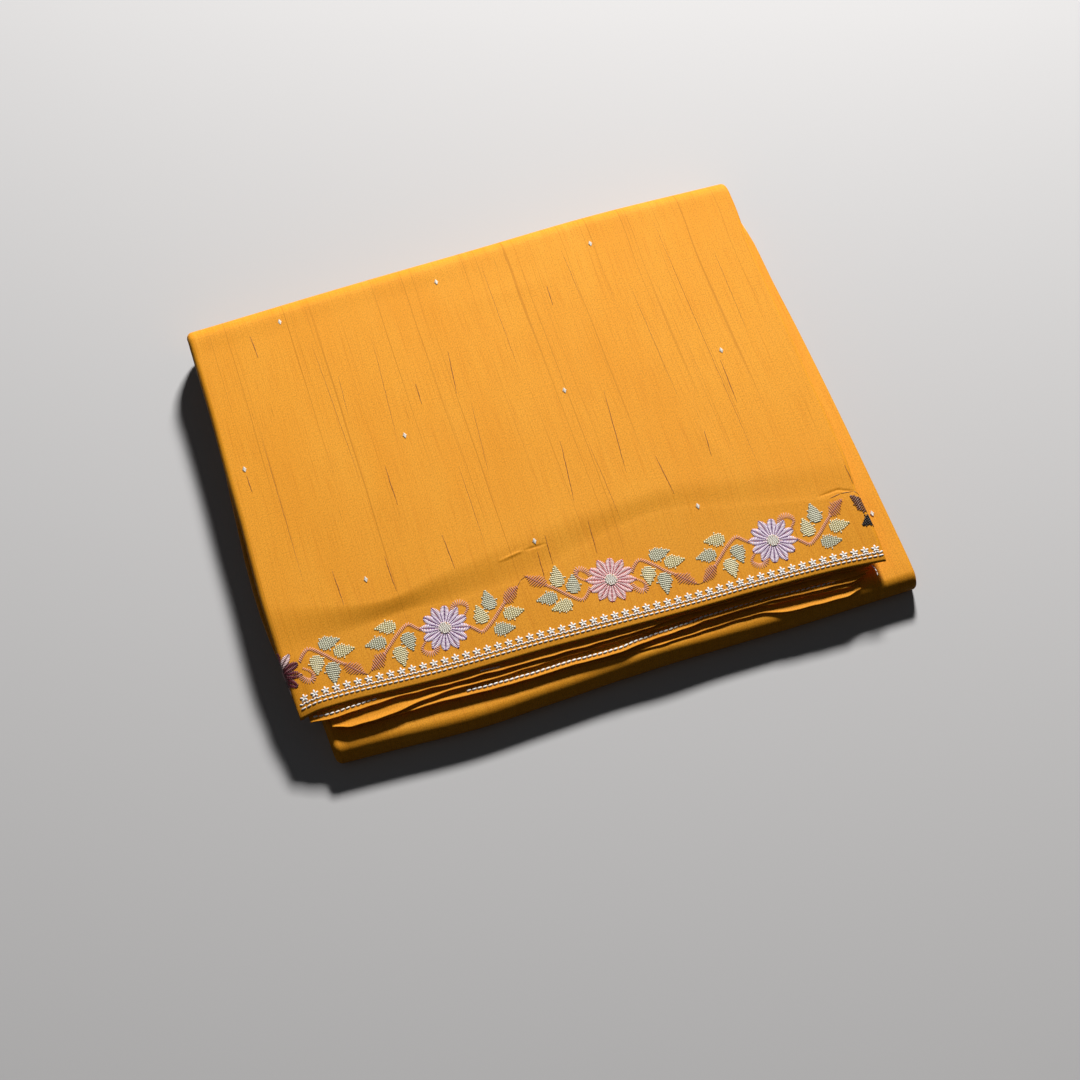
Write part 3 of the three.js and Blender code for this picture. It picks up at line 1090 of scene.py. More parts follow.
EDGE_CUTS = (
    EdgeCut(
        "second_edge", -193, 182,
        Line((-193, 0.63), (-184, 0.76), (-176, 0.8), (0, 0.8), (60, 0.79), (110, 0.77),
             (150, 0.77), (168, 0.82), (182, 0.97)),
        Line((-193, -143.7), (-165, -142.3), (-135, -141.2), (-110, -142.4), (-60, -143.2),
             (0, -143.8), (25, -143.4), (42, -141.9), (110, -142), (150, -143.2),
             (170, -144.8), (182, -146)),
        wave=0.2, seed=1.0, sag=0.15),
    EdgeCut(
        "third_edge", -181, 172,
        Line((-181, 0.655), (0, 0.64), (110, 0.63), (172, 0.61)),
        Line((-181, -150.6), (-150, -151.2), (-133, -148.9), (-110, -146.4), (-74, -146.8),
             (-50, -146), (0, -145.4), (60, -144.6), (108, -145.2), (135, -146.1),
             (155, -147.7), (172, -149.4)),
        wave=0.3, seed=1.6, sag=0.9),
    EdgeCut(
        "fourth_edge", -177, 169,
        Line((-177, 0.49), (0, 0.48), (110, 0.5), (169, 0.48)),
        Line((-177, -149.5), (-141, -151.2), (-113, -151), (-95, -152), (-61, -152.9),
             (-30, -152.2), (0, -152.7), (20, -151), (45, -149.6), (70, -148.1), (105, -148),
             (128, -149.3), (150, -150.4), (169, -151.2)),
        wave=0.3, seed=2.2, sag=0.4),
    EdgeCut(
        "fifth_edge", -173, 164,
        Line((-173, 0.325), (0, 0.32), (110, 0.37), (164, 0.35)),
        Line((-173, -148), (-80, -150), (0, -151.2), (45, -148.6), (93, -148), (104, -149.6),
             (114, -149.8), (131, -150.8), (150, -152.3), (164, -153.6)),
        wave=0.3, seed=2.7, sag=0.6),
    EdgeCut(
        "sixth_edge", -169, 163,
        Line((-169, 0.16), (0, 0.155), (110, 0.145), (163, 0.145)),
        Line((-169, -146), (-80, -148), (-30, -151.5), (-8, -153.8), (13, -154.3),
             (29, -154.6), (60, -153.4), (82, -152.4), (98, -153), (111, -156.2),
             (130, -157.6), (163, -158.5)),
        wave=0.15, seed=3.1, sag=0.3),
)


@dataclass
class LooseEdges:
    """The loose edges that show at the front, below the top one."""

    thickness: float = 0.7
    columns: int = 190
    strip_deep: float = 38.0
    lip: float = 0.3
    corner: float = 3.0
    row_shares: tuple[float, ...] = (
        0, 0.008, 0.02, 0.04, 0.07, 0.11, 0.16, 0.22, 0.3, 0.42, 0.6, 0.8, 1,
    )

    def height(self, cut: EdgeCut, x: float, y: float) -> float:
        """Height of the upper face of a loose edge, without its lip.

        Args:
            cut: the edge.
            x: of the place.
            y: of the place.

        Returns:
            The height over the floor.
        """
        level, back = cut.level(x), y - cut.front(x)
        wave = uneven(cut.wave, x / 17, y / 60, cut.seed) * 1.6
        lift = wave * smooth((22 - back) / 16)
        over_fold = BUNDLE.crest(x, y) * (1 - level) ** 2
        trough = cut.sag * smooth((back - 0.8) / 3) * smooth((24 - back) / 14)
        base = mix(BUNDLE.lower_height, BUNDLE.loose_roof(x, y), level)
        return base + over_fold - BUNDLE.settle + lift - trough

    def front_at(self, cut: EdgeCut, x: float) -> float:
        """Front line of a loose edge, with its small waves and rounded corners.

        Args:
            cut: the edge.
            x: of the place.

        Returns:
            The place of the line across the length.
        """
        share = (x - cut.left) / (cut.right - cut.left)
        ripple = uneven(0.55, x / 11, 0, cut.seed * 5)
        return cut.front(x) + self.corner * near_ends(share, 30) + ripple

    def build_one(self, cut: EdgeCut) -> None:
        """Build and dress one loose edge.

        Args:
            cut: its sizes.
        """
        grid = []
        for share in self.row_shares:
            lip = self.lip * (1 - smooth(share * 22))
            row = []
            for x in (mix(cut.left, cut.right, u) for u in evenly(self.columns)):
                y = mix(self.front_at(cut, x), BUNDLE.strip_back, share)
                row.append(Vector((x, y, self.height(cut, x, y) + lip)))
            grid.append(row)
        item = shell(grid, self.thickness).to_object(f"{cut.node}_cloth")
        SHOP.dress(item, SHADED_EDGE_SILK, cut.node)

    def build(self) -> None:
        """Build the five loose edges."""
        for cut in EDGE_CUTS:
            self.build_one(cut)


class Part(Enum):
    """Parts of the pile of hidden layers, from the floor up."""

    LOWER = "lower package"
    NECK = "between the packages"
    UPPER = "upper package"


@dataclass
class HiddenLayers:
    """The layers that the outer cloth hides, with each fold showing at the ends."""

    inset: float = 1.15
    gap: float = 0.3
    roof_gap: float = 0.45
    columns: int = 24
    steps_per_stack: int = 8
    cover_start: float = 126.0
    lower_left: tuple[float, ...] = (8.65, 8.65)
    upper_left: tuple[float, ...] = (8.35, 8.35)
    lower_right: tuple[float, ...] = (4.3, 2.2, 2.15, 2.15, 2.2, 4.3)
    upper_right: tuple[float, ...] = (4.3, 2.1, 2.0, 2.0, 2.1, 4.2)
    back_shares: tuple[float, ...] = (
        0, 0.01, 0.025, 0.05, 0.09, 0.14, 0.2, 0.27, 0.35, 0.43, 0.51, 0.59, 0.67, 0.75,
        0.82, 0.87, 0.91, 0.935, 0.95, 0.96, 0.968, 0.976, 0.984, 0.991, 1,
    )

    def stack_at(self, stacks: Sequence[float], height: float) -> tuple[float, int, float]:
        """Where a height lies in a pile of stacks.

        Args:
            stacks: heights of the stacks, from the floor up.
            height: above the foot of the pile.

        Returns:
            How far the stack stands out there, from 0 to 1, its number and its height.
        """
        base, number = 0.0, 0
        while number < len(stacks) - 1 and height > base + stacks[number]:
            base += stacks[number]
            number += 1
        half = stacks[number] / 2
        off = min(abs(height - base - half) / half, 1.0)
        return math.sqrt(1 - off * off), number, stacks[number]

    def fold_levels(
        self, stacks: Sequence[float], base: float, low: float, high: float
    ) -> list[float]:
        """Heights that give each stack of a pile its rounded fold.

        Args:
            stacks: heights of the stacks, from the foot up.
            base: height of the foot of the pile.
            low: no level lies below it.
            high: no level lies above it.

        Returns:
            The heights, rising.
        """
        heights = []
        for stack in stacks:
            for i in range(self.steps_per_stack):
                turn = math.pi * (i + 0.5) / self.steps_per_stack
                heights.append(base + stack * (1 - math.cos(turn)) / 2)
            base += stack
        return [z for z in heights if low < z < high]

    def levels(self) -> list[tuple[Part, float]]:
        """Part and height of every level.

        Returns:
            The levels, from the floor up.
        """
        roof = BUNDLE.lower_height - self.inset - self.gap
        floor = BUNDLE.lower_height + self.gap
        top = BUNDLE.height - self.inset - self.roof_gap
        lower = self.fold_levels(self.lower_right, 0.0, self.inset + 0.2, roof - 0.2)
        upper = self.fold_levels(self.upper_right, BUNDLE.lower_height, floor + 0.3, top - 0.2)
        return (
            [(Part.LOWER, z) for z in (self.inset, *lower, roof - 0.1)]
            + [(Part.NECK, roof), (Part.NECK, floor)]
            + [(Part.UPPER, z) for z in (floor + 0.15, *upper, top)]
        )

    def back(self, x: float, z: float) -> float:
        """Rearmost place of the layers.

        Args:
            x: of the place.
            z: of the level.

        Returns:
            The place across the length.
        """
        half = BUNDLE.height / 2
        rise = min(abs(z - half) / (half - self.inset), 1.0)
        reach = BUNDLE.back_bulge - self.inset - 0.6
        return BUNDLE.back_axis(x) + reach * math.sqrt(1 - rise * rise)

    def front(self, x: float, part: Part, z: float) -> float:
        """Foremost place of the layers.

        Args:
            x: of the place.
            part: of the level.
            z: of the level.

        Returns:
            The place across the length.
        """
        if part is Part.NECK:
            return BUNDLE.return_back + 0.6
        if part is Part.UPPER:
            return BUNDLE.strip_back + 0.3
        radius = BUNDLE.fold_radius - self.inset
        rise = min(abs(z - BUNDLE.fold_radius) / radius, 1.0)
        return BUNDLE.front_axis(x) - (radius - 0.6) * math.sqrt(1 - rise * rise)

    def ends(self, part: Part, z: float, y: float) -> Spot:
        """Left and right ends of the layers at one level.

        Args:
            part: of the level.
            z: of the level.
            y: of the place.

        Returns:
            The two places along the length.
        """
        left_wrap, right_wrap = BUNDLE.left_wrap, BUNDLE.right_wrap
        upper = part is Part.UPPER
        if upper:
            left, left_stacks = BUNDLE.top_left(y), self.upper_left
            right, right_stacks = BUNDLE.top_right(y), self.upper_right
            height, seed = z - BUNDLE.lower_height, 4.4
        else:
            left, left_stacks = BUNDLE.lower_left(y), self.lower_left
            right, right_stacks = BUNDLE.lower_right(y), self.lower_right
            height, seed = z, 7.7
        left_out, left_number, _ = self.stack_at(left_stacks, height)
        right_out, number, size = self.stack_at(right_stacks, height)
        covered = smooth((y - self.cover_start) / 10)
        left_add = right_add = -0.6
        if upper and left_number == 0:
            peek = BUNDLE.left_peek(y) * left_out
            left_add = (left_out * left_wrap.bulge + peek) * (1 - covered)
        if number < 5 and (upper or number > 0):
            rough = uneven(0.9, y / 38, number * 3.1, seed)
            reach = min(size / 2, right_wrap.bulge)
            right_add = (right_out * reach + rough - 0.5) * (1 - covered)
        left_in, right_in = left_wrap.bulge + self.gap, right_wrap.bulge + self.gap
        return (
            left + left_in - left_add + 1.8 * covered,
            right - right_in + right_add - 4.4 * covered,
        )

    def point(self, part: Part, z: float, u: float, v: float) -> Point:
        """Point of the layers at a level.

        Args:
            part: of the level.
            z: of the level.
            u: share of its length.
            v: share of its depth.

        Returns:
            The point.
        """
        corner = 2.5 * near_ends(v, 14)
        x, y = mix(-186, 184, u), 0.0
        for _ in range(3):
            y = mix(self.front(x, part, z), self.back(x, z), v)
            left, right = self.ends(part, z, y)
            x = mix(left + corner, right - corner, u)
        if part is not Part.UPPER:
            return x, y, z
        floor = BUNDLE.lower_height + self.gap
        tall = BUNDLE.height - self.inset - self.roof_gap - floor
        on_slope = 1 - smooth((y - BUNDLE.slope_top(x) - 4) / 10)
        roof = BUNDLE.top_height(x, y, False) - self.inset - self.roof_gap - 0.6 * on_slope
        return x, y, mix(floor, roof, (z - floor) / tall)

    def build(self) -> None:
        """Build and dress the layers."""
        levels, shares, backs = self.levels(), evenly(self.columns), self.back_shares
        ring = rim(len(shares) - 1, len(backs) - 1)
        size = len(ring)
        shape = Shape()
        for part, z in levels:
            shape.points += [self.point(part, z, shares[i], backs[j]) for i, j in ring]
        for low in range(0, (len(levels) - 1) * size, size):
            shape.add_wall(range(low, low + size), range(low + size, low + 2 * size))
        for (part, z), up in ((levels[0], False), (levels[-1], True)):
            start = len(shape.points)
            shape.points += [self.point(part, z, u, v) for v in backs for u in shares]
            shape.add_net(start, len(shares), len(backs), up)
        item = shape.to_object("layered_ends")
        work = bmesh.new()
        work.from_mesh(item.data)
        bmesh.ops.remove_doubles(work, verts=work.verts, dist=1e-6)
        work.to_mesh(item.data)
        work.free()
        SHOP.dress(item, SHADED_INNER_SILK, "hidden_layers")


Surface = Callable[[float, float, float], Point]


class Yarn(NamedTuple):
    """Width of a stitch, and its height over that width."""

    width: float
    rise: float


@dataclass(frozen=True)
class Axis:
    """A straight line on the cloth, with spots along it and beside it."""

    start: Spot
    cos: float
    sin: float
    long: float = 1.0

    @classmethod
    def between(cls, start: Spot, end: Spot) -> "Axis":
        """Line from one spot to another."""
        long = max(math.hypot(end[0] - start[0], end[1] - start[1]), 1e-6)
        return cls(start, (end[0] - start[0]) / long, (end[1] - start[1]) / long, long)

    @classmethod
    def turned(cls, start: Spot, angle: float) -> "Axis":
        """Line from a spot at an angle in radians."""
        return cls(start, math.cos(angle), math.sin(angle))

    def at(self, along: float, side: float = 0.0) -> Spot:
        """Spot at a distance along the line and to its left."""
        x, y = self.start
        return x + along * self.cos - side * self.sin, y + along * self.sin + side * self.cos


class Stitching:
    """Collects stitches of one colour and makes them one raised piece."""

    master: tuple[list[Point], list[Face]] | None = None
    overlap: float = 0.6

    def __init__(self, name: str, finish: ThreadFinish) -> None:
        """Start with no stitches."""
        self.name, self.finish, self.shape = name, finish, Shape()

    @classmethod
    def model_stitch(cls) -> tuple[list[Point], list[Face]]:
        """Model one stitch: half a bead with a broad top, one long, one wide.

        Returns:
            Its points and faces.
        """
        if cls.master is None:
            bpy.ops.object.select_all(action="DESELECT")
            bpy.ops.mesh.primitive_uv_sphere_add(segments=8, ring_count=4, radius=0.5)
            bead = bpy.context.object
            bpy.ops.object.mode_set(mode="EDIT")
            bpy.ops.mesh.select_all(action="SELECT")
            bpy.ops.mesh.bisect(
                plane_co=(0, 0, -0.05), plane_no=(0, 0, 1), clear_inner=True, use_fill=True)
            bpy.ops.object.mode_set(mode="OBJECT")
            points = [tuple(v.co) for v in bead.data.vertices]
            faces = [tuple(p.vertices) for p in bead.data.polygons]
            points = [
                (x * 1.19, y * 1.19, 0.45) if 0.2 < z < 0.45 else (x, y, z) for x, y, z in points
            ]
            mesh = bead.data
            bpy.data.objects.remove(bead)
            bpy.data.meshes.remove(mesh)
            cls.master = (points, faces)
        return cls.master

    def sew(self, start: Spot, end: Spot, yarn: Yarn, surface: Surface) -> None:
        """Lay one stitch on a surface.

        Args:
            start: where the thread comes up, on the cloth.
            end: where it goes down.
            yarn: its size.
            surface: gives the point over a place on the cloth.
        """
        points, faces = self.model_stitch()
        line = Axis.between(start, end)
        base = len(self.shape.points)
        reach = line.long + yarn.width * self.overlap
        for px, py, pz in points:
            # A squarer end than an ellipse has keeps the thread's width to its tips.
            side = py * yarn.width * (1 + abs(px) * (1 - abs(px)))
            x, y = line.at(line.long / 2 + px * reach, side)
            self.shape.points.append(surface(x, y, pz * yarn.width * yarn.rise * 2))
        self.shape.faces += [tuple(base + i for i in face) for face in faces]

    def finish_piece(self, slot: str = "outer_silk") -> None:
        """Make the piece and dress it in its finish."""
        SHOP.dress(self.shape.to_object(self.name), self.finish)


def border_point(s: float, t: float, lift: float) -> Point:
    """Point above the border, s along the cloth and t back from its front edge."""
    return BUNDLE.on_top(s, BUNDLE.front_edge(min(max(s, LEFT_END), RIGHT_END)) + t, lift)


class Track:
    """Smooth path through a few spots of the cloth, walked by its length."""

    def __init__(self, spots: Sequence[Spot]) -> None:
        """Keep closely spaced places along the path, and the length up to each.

        Args:
            spots: that it runs through.
        """
        across, back = (Line(*enumerate(values)) for values in zip(*spots))
        fine = 16
        steps = [i / fine for i in range(fine * (len(spots) - 1) + 1)]
        self.places = [(across(at), back(at)) for at in steps]
        gaps = (math.dist(a, b) for a, b in pairwise(self.places))
        self.lengths = list(accumulate(gaps, initial=0.0))

    def walk(self, pitch: float) -> Iterator[tuple[float, Axis]]:
        """Steps along the path.

        Args:
            pitch: length of a step.

        Yields:
            The share of the path, and the line that runs on from there.
        """
        total, i = self.lengths[-1], 0
        for share in middles(max(int(total / pitch), 1)):
            at = share * total
            while self.lengths[i + 1] < at:
                i += 1
            line = Axis.between(self.places[i], self.places[i + 1])
            start = line.at(at - self.lengths[i])
            yield at / total, Axis(start, line.cos, line.sin)


@dataclass(frozen=True)
class BloomThreads:
    """Threads of one kind of flower, and how wide its petals are."""

    fill: str
    rim: str
    core: str
    odd_fill: str
    slim: float = 1.0


class Bloom(Enum):
    """Kinds of flower in the border, by their threads."""

    LILAC = BloomThreads("lilac", "violet", "cream", "lilac")
    PINK = BloomThreads("rose", "coral", "cream", "rose")
    # Partly painted shade: this flower turns down the shaded left wrap, and its plum fill and
    # maroon rim darken it beside its rose petals and rose centre.
    WINE_IN_SHADE = BloomThreads("plum", "maroon", "rose", "rose", 0.88)


@dataclass(frozen=True)
class Leaf:
    """A leaf of a spray, from its base to its tip, relative to the flower."""

    base: Spot
    tip: Spot
    thread: str


@dataclass(frozen=True)
class Spray:
    """The spray at the right of a flower; the others are it turned or mirrored."""

    stem: tuple[Spot, ...]
    curl: tuple[Spot, ...]
    leaves: tuple[Leaf, ...]
    end_leaf: Leaf


ROUND_SPRAY = Spray(
    stem=((14.2, -2.8), (18.0, -6.4), (21.4, -9.4), (26.2, -7.0), (31.0, -3.4), (35.0, 0.4),
          (41.0, 5.8)),
    curl=((7.4, 10.5), (10.1, 13.6), (13.8, 14.0), (16.8, 11.6), (17.3, 8.6), (13.5, 4.4)),
    leaves=(
        Leaf((24.3, -4.2), (23.0, 9.0), "leaf"),
        Leaf((31.4, 3.4), (31.0, 17.2), "sage"),
        Leaf((37.4, -2.4), (50.8, -2.8), "leaf"),
        Leaf((28.8, -10.4), (42.2, -12.4), "sage"),
    ),
    end_leaf=Leaf((40.4, 5.6), (51.4, 13.6), "mauve"),
)
STEEP_SPRAY = Spray(
    stem=((14.0, -0.8), (17.2, -5.0), (21.4, -7.8), (26.4, -4.4), (31.0, 0.0), (34.4, 3.8),
          (40.2, 8.6)),
    curl=((11.5, 6.5), (13.8, 11.2), (17.6, 13.4), (20.0, 10.6), (19.0, 7.2), (14.6, 3.6)),
    leaves=(
        Leaf((25.2, -2.0), (22.2, 10.8), "leaf"),
        Leaf((33.0, 5.0), (31.0, 19.8), "sage"),
        Leaf((35.8, -1.0), (49.2, 0.0), "leaf"),
        Leaf((28.2, -7.8), (42.0, -8.8), "sage"),
    ),
    end_leaf=Leaf((40.0, 8.4), (50.4, 18.4), "mauve"),
)


@dataclass(frozen=True)
class BorderPlace:
    """Where a flower stands, its kind, and whether its sprays rise or fall."""

    x: float
    y: float
    bloom: Bloom
    flip: int
    spray: Spray
    shift: Spot = (0.0, 0.0)


@dataclass
class FlowerBorder:
    """Flowers and leafy sprays along the border of the top panel."""

    petals: int = 12
    petal_start: float = 3.7
    petal_end: float = 15.3
    core_radius: float = 3.7
    core_rows: int = 9
    core_pitch: float = 1.25
    leaf_row_pitch: float = 1.3
    leaf_pitch: float = 1.28
    stripe_pitch: float = 1.42
    petal_rim_shade_ground: Yarn = Yarn(0.9, 0.17)
    petal_fill: Yarn = Yarn(0.84, 0.32)
    petal_tip: Yarn = Yarn(0.5, 0.9)
    petal_rib: Yarn = Yarn(0.62, 0.7)
    between_petals: Yarn = Yarn(0.75, 0.6)
    core: Yarn = Yarn(0.92, 0.85)
    leaf_shade_ground: Yarn = Yarn(1.55, 0.14)
    leaf_fill: Yarn = Yarn(0.98, 0.36)
    stripe: Yarn = Yarn(0.6, 0.6)
    leaf_tail: Yarn = Yarn(0.4, 0.7)
    stem: Yarn = Yarn(0.72, 0.42)
    curl: Yarn = Yarn(0.66, 0.42)
    loose: Yarn = Yarn(0.32, 0.7)
    stem_width: Line = Line((0, 2.1), (0.3, 2.6), (1, 2.1))
    curl_width: Line = Line((0, 3.0), (0.3, 4.2), (0.55, 3.6), (0.68, 2.1), (1, 1.5))
    # Painted shade: two leaves where the top panel turns down at its right end; their brown and
    # near-black threads paint the fold's shade on them.
    shaded_fold_leaves: tuple[Leaf, ...] = (
        Leaf((185.0, -110.0), (176.5, -97.0), "bark_and_shade"),
        Leaf((187.5, -115.0), (176.8, -119.0), "umber_shade"),
    )
    half_petal: Line = Line(
        (3.6, 0.95), (7, 2.1), (10, 3.0), (12.6, 2.8), (14.2, 1.8), (15.3, 0.7))
    half_leaf: Line = Line(
        (0, 1.5), (0.08, 3.2), (0.22, 4.7), (0.4, 4.8), (0.55, 4.1), (0.68, 3.0),
        (0.8, 2.1), (0.9, 1.3), (1, 0.4))
    half_stripe: Line = Line((0, 1.2), (0.16, 3.4), (0.4, 4.9), (0.62, 4.1), (0.84, 2.2), (1, 0.8))
    places: tuple[BorderPlace, ...] = (
        BorderPlace(-205.0, -107.0, Bloom.WINE_IN_SHADE, -1, STEEP_SPRAY, (2.0, 3.5)),
        BorderPlace(-96.7, -107.3, Bloom.LILAC, 1, ROUND_SPRAY),
        BorderPlace(12.3, -106.8, Bloom.PINK, -1, STEEP_SPRAY),
        BorderPlace(118.8, -111.7, Bloom.LILAC, 1, ROUND_SPRAY),
    )
    threads_between: tuple[tuple[Spot, ...], ...] = (
        ((163.1, -95.1), (171.3, -93.7), (179.8, -94.7), (183.2, -98.2)),
        ((-152.6, -121.9), (-150.3, -122.7), (-148.1, -120.9)),
        ((-45.3, -93.7), (-42.0, -90.2), (-38.1, -88.4)),
        ((62.7, -125.2), (65.0, -126.0), (67.4, -125.3)),
    )
    seed: int = 5

    def __post_init__(self) -> None:
        """Prepare one stitching for each thread colour."""
        self.threads = {
            name: Stitching(f"border_{name}", finish) for name, finish in BORDER_THREADS.items()
        }
        # Darker grounds under the leaves, which show between their stitches as painted shade.
        self.shade_grounds = {"leaf": "olive", "sage": "ash", "umber_shade": "umber_shade", "bark_and_shade": "bark_and_shade"}
        self.draw = random.Random(self.seed)

    def stitch(self, thread: str, start: Spot, end: Spot, yarn: Yarn) -> None:
        """Sew one stitch on the top panel."""
        self.threads[thread].sew(start, end, yarn, BUNDLE.on_top)

    def petal(self, axis: Axis, kind: BloomThreads, number: int) -> None:
        """Sew one petal: a darker ground with a jagged rim, and two ladders of fill on it; the
        ground shows between the fill stitches as painted shade.

        Args:
            axis: the petal's middle line, from the centre of the flower.
            kind: threads of the flower.
            number: of the petal, from 0.
        """
        end = self.petal_end + (0.5 if number % 2 else -0.3)
        fill = kind.odd_fill if number % 4 == 1 else kind.fill
        for share in middles(10):
            along = mix(self.petal_start + 0.8, end + 0.2, share)
            half = self.half_petal(along) * kind.slim + self.draw.uniform(-0.1, 0.5)
            self.stitch(kind.rim, axis.at(along, -half), axis.at(along, half), self.petal_rim_shade_ground)
        for share in middles(12):
            along = mix(self.petal_start, end - 0.3, share)
            half = self.half_petal(along) * kind.slim - 0.3
            for way in (-1, 1):
                self.stitch(fill, axis.at(along - 0.25, way * 0.3),
                            axis.at(along + 0.25, way * half), self.petal_fill)
        self.stitch(kind.rim, axis.at(end - 1.1), axis.at(end + 0.4), self.petal_tip)
        for k in range(4 if number % 3 else 0):
            along = 6.4 + 1.55 * k
            self.stitch(kind.rim, axis.at(along), axis.at(along + 0.6, 0.08), self.petal_rib)

    def flower(self, centre: Spot, kind: BloomThreads) -> None:
        """Sew one flower with its round centre.

        Args:
            centre: of the flower.
            kind: its threads.
        """
        for k in range(self.petals):
            self.petal(Axis.turned(centre, math.tau * (k + 0.5) / self.petals), kind, k)
        for k in range(self.petals):
            axis = Axis.turned(centre, math.tau * k / self.petals)
            for n in range(5):
                near = 4.5 + 1.2 * n
                self.stitch(kind.rim, axis.at(near), axis.at(near + 0.7), self.between_petals)
        for j, share in enumerate(middles(self.core_rows)):
            y = mix(-self.core_radius, self.core_radius, share)
            wide = math.sqrt(max(self.core_radius**2 - y * y, 0.2))
            for part in middles(max(round(2 * wide / self.core_pitch), 1)):
                x = mix(-wide, wide, part) + (0.25 if j % 2 else -0.25)
                self.stitch(kind.core, (centre[0] + x - 0.4, centre[1] + y - 0.12),
                            (centre[0] + x + 0.4, centre[1] + y + 0.12), self.core)

    def leaf_pad(self, base: Spot, tip: Spot, thread: str) -> None:
        """Sew one broad leaf as rows of short slanted stitches with a stepped outline, over a
        darker ground that shows between them as painted shade.

        Args:
            base: of the leaf.
            tip: of the leaf.
            thread: its colour.
        """
        axis = Axis.between(base, tip)
        rows = round(axis.long / self.leaf_row_pitch)
        for share in middles(rows):
            along = share * axis.long
            half = self.half_leaf(share) - 0.3 + self.draw.uniform(-0.25, 0.25)
            self.stitch(self.shade_grounds[thread], axis.at(along, -half), axis.at(along, half),
                        self.leaf_shade_ground)
        for j, share in enumerate(middles(rows)):
            half = self.half_leaf(share) * (1.14 if j % 3 == 1 else 0.9)
            for part in middles(max(round(2 * half / self.leaf_pitch), 1)):
                side = mix(-half, half, part) + (0.3 if j % 2 else -0.3)
                along = share * axis.long + self.draw.uniform(-0.08, 0.08)
                self.stitch(thread, axis.at(along - 0.2, side - 0.32),
                            axis.at(along + 0.2, side + 0.32), self.leaf_fill)

    def striped_leaf(self, base: Spot, tip: Spot, thread: str) -> None:
        """Sew one open leaf of parallel slanted stripes, with a thin thread at its tip.

        Args:
            base: of the leaf.
            tip: of the leaf.
            thread: its colour.
        """
        axis = Axis.between(base, tip)
        for share in middles(round(axis.long / self.stripe_pitch)):
            half = self.half_stripe(share) * self.draw.uniform(0.82, 1.14)
            along, lean = share * axis.long, 0.3 * half
            self.stitch(thread, axis.at(along - lean, -half), axis.at(along + lean, half),
                        self.stripe)
        self.stitch(thread, axis.at(0.1 * axis.long), axis.at(1.12 * axis.long), self.leaf_tail)

    def ribbon(
        self, spots: Sequence[Spot], widths: Line, yarn: Yarn, pitch: float, lean: float
    ) -> None:
        """Sew a band of short parallel stitches across a path.

        Args:
            spots: of the path.
            widths: of the band, by the share of its length.
            yarn: size of one stitch.
            pitch: from one stitch to the next.
            lean: how far each stitch leans along the path.
        """
        for share, axis in Track(spots).walk(pitch):
            half = widths(share) / 2
            self.stitch("blush", axis.at(-lean * half, -half), axis.at(lean * half, half), yarn)

    def spray_at(self, place: BorderPlace, turn: int) -> None:
        """Sew one spray.

        Args:
            place: the flower that it belongs to.
            turn: 1 at the right, -1 at the left, where the leaf colours are swapped.
        """
        spray = place.spray

        def spot(point: Spot) -> Spot:
            """Place on the cloth of a point of the spray."""
            x, y = place.x + place.shift[0], place.y + place.shift[1]
            return x + point[0] * turn, y + point[1] * turn * place.flip

        self.ribbon([spot(p) for p in spray.stem], self.stem_width, self.stem, 1.28, 0.5)
        self.ribbon([spot(p) for p in spray.curl], self.curl_width, self.curl, 1.2, 0.15)
        swapped = {"leaf": "sage", "sage": "leaf"}
        for leaf in spray.leaves:
            thread = leaf.thread if turn == 1 else swapped[leaf.thread]
            self.leaf_pad(spot(leaf.base), spot(leaf.tip), thread)
        last = spray.end_leaf
        self.striped_leaf(spot(last.base), spot(last.tip), last.thread)

    def build(self) -> None:
        """Sew the whole border and finish a piece for each colour."""
        for place in self.places:
            self.flower((place.x, place.y), place.bloom.value)
            self.spray_at(place, 1)
            if place.x > LEFT_END:
                self.spray_at(place, -1)
        for leaf in self.shaded_fold_leaves:
            self.leaf_pad(leaf.base, leaf.tip, leaf.thread)
        for line in self.threads_between:
            for a, b in pairwise(line):
                self.stitch("bark_and_shade", a, b, self.loose)
        for stitching in self.threads.values():
            stitching.finish_piece()


@dataclass
class EdgeTrim:
    """Ivory trim along an edge: small stars over a row of arches and a chain."""

    pitch: float = 6.88
    hem: Line = Line((-198, 5.3), (-100, 5.0), (0, 4.6), (70, 4.1), (183, 4.1))
    star_back: Line = Line((-198, 10.8), (-100, 10.5), (0, 9.6), (70, 8.7), (183, 8.7))
    first: int = -28
    last: int = 26
    arms: tuple[Spot, ...] = ((90, 2.7), (26, 2.5), (154, 2.5), (-44, 2.2), (224, 2.2))
    arch: tuple[tuple[Spot, Spot], ...] = (((0.3, 0.75), (1.6, -0.2)), ((1.8, -0.2), (3.1, 0.7)))
    star_yarn: Yarn = Yarn(1.35, 0.34)
    arch_yarn: Yarn = Yarn(1.1, 0.34)
    chain_yarn: Yarn = Yarn(1.15, 0.34)

    def unit(self, trim: Stitching, s: float) -> None:
        """Sew one star with the arch and the dashes below it.

        Args:
            trim: takes the stitches.
            s: place of the star along the cloth.
        """
        back, hem = self.star_back(s), self.hem(s)
        middle = mix(hem, back, 0.42)
        for degrees, long in self.arms:
            arm = Axis.turned((s, back), math.radians(degrees))
            trim.sew(arm.at(0.3), arm.at(long), self.star_yarn, border_point)
        for way in (-1, 1):
            for (near, low), (far, high) in self.arch:
                trim.sew((s + way * near, middle + low), (s + way * far, middle + high),
                         self.arch_yarn, border_point)
            dash = s + way * 1.72
            trim.sew((dash - 1.25, hem - 0.15), (dash + 1.25, hem + 0.15), self.chain_yarn,
                     border_point)

    def build(self) -> None:
        """Sew the trim along the top edge."""
        trim = Stitching("top_trim", IVORY)
        for number in range(self.first, self.last + 1):
            self.unit(trim, number * self.pitch)
        trim.finish_piece()


class DashRow(NamedTuple):
    """A row of dashes: its first place, number and pitch, and the size of one dash."""

    first: float
    count: int
    pitch: float
    half: float
    near: float
    far: float
    width: float


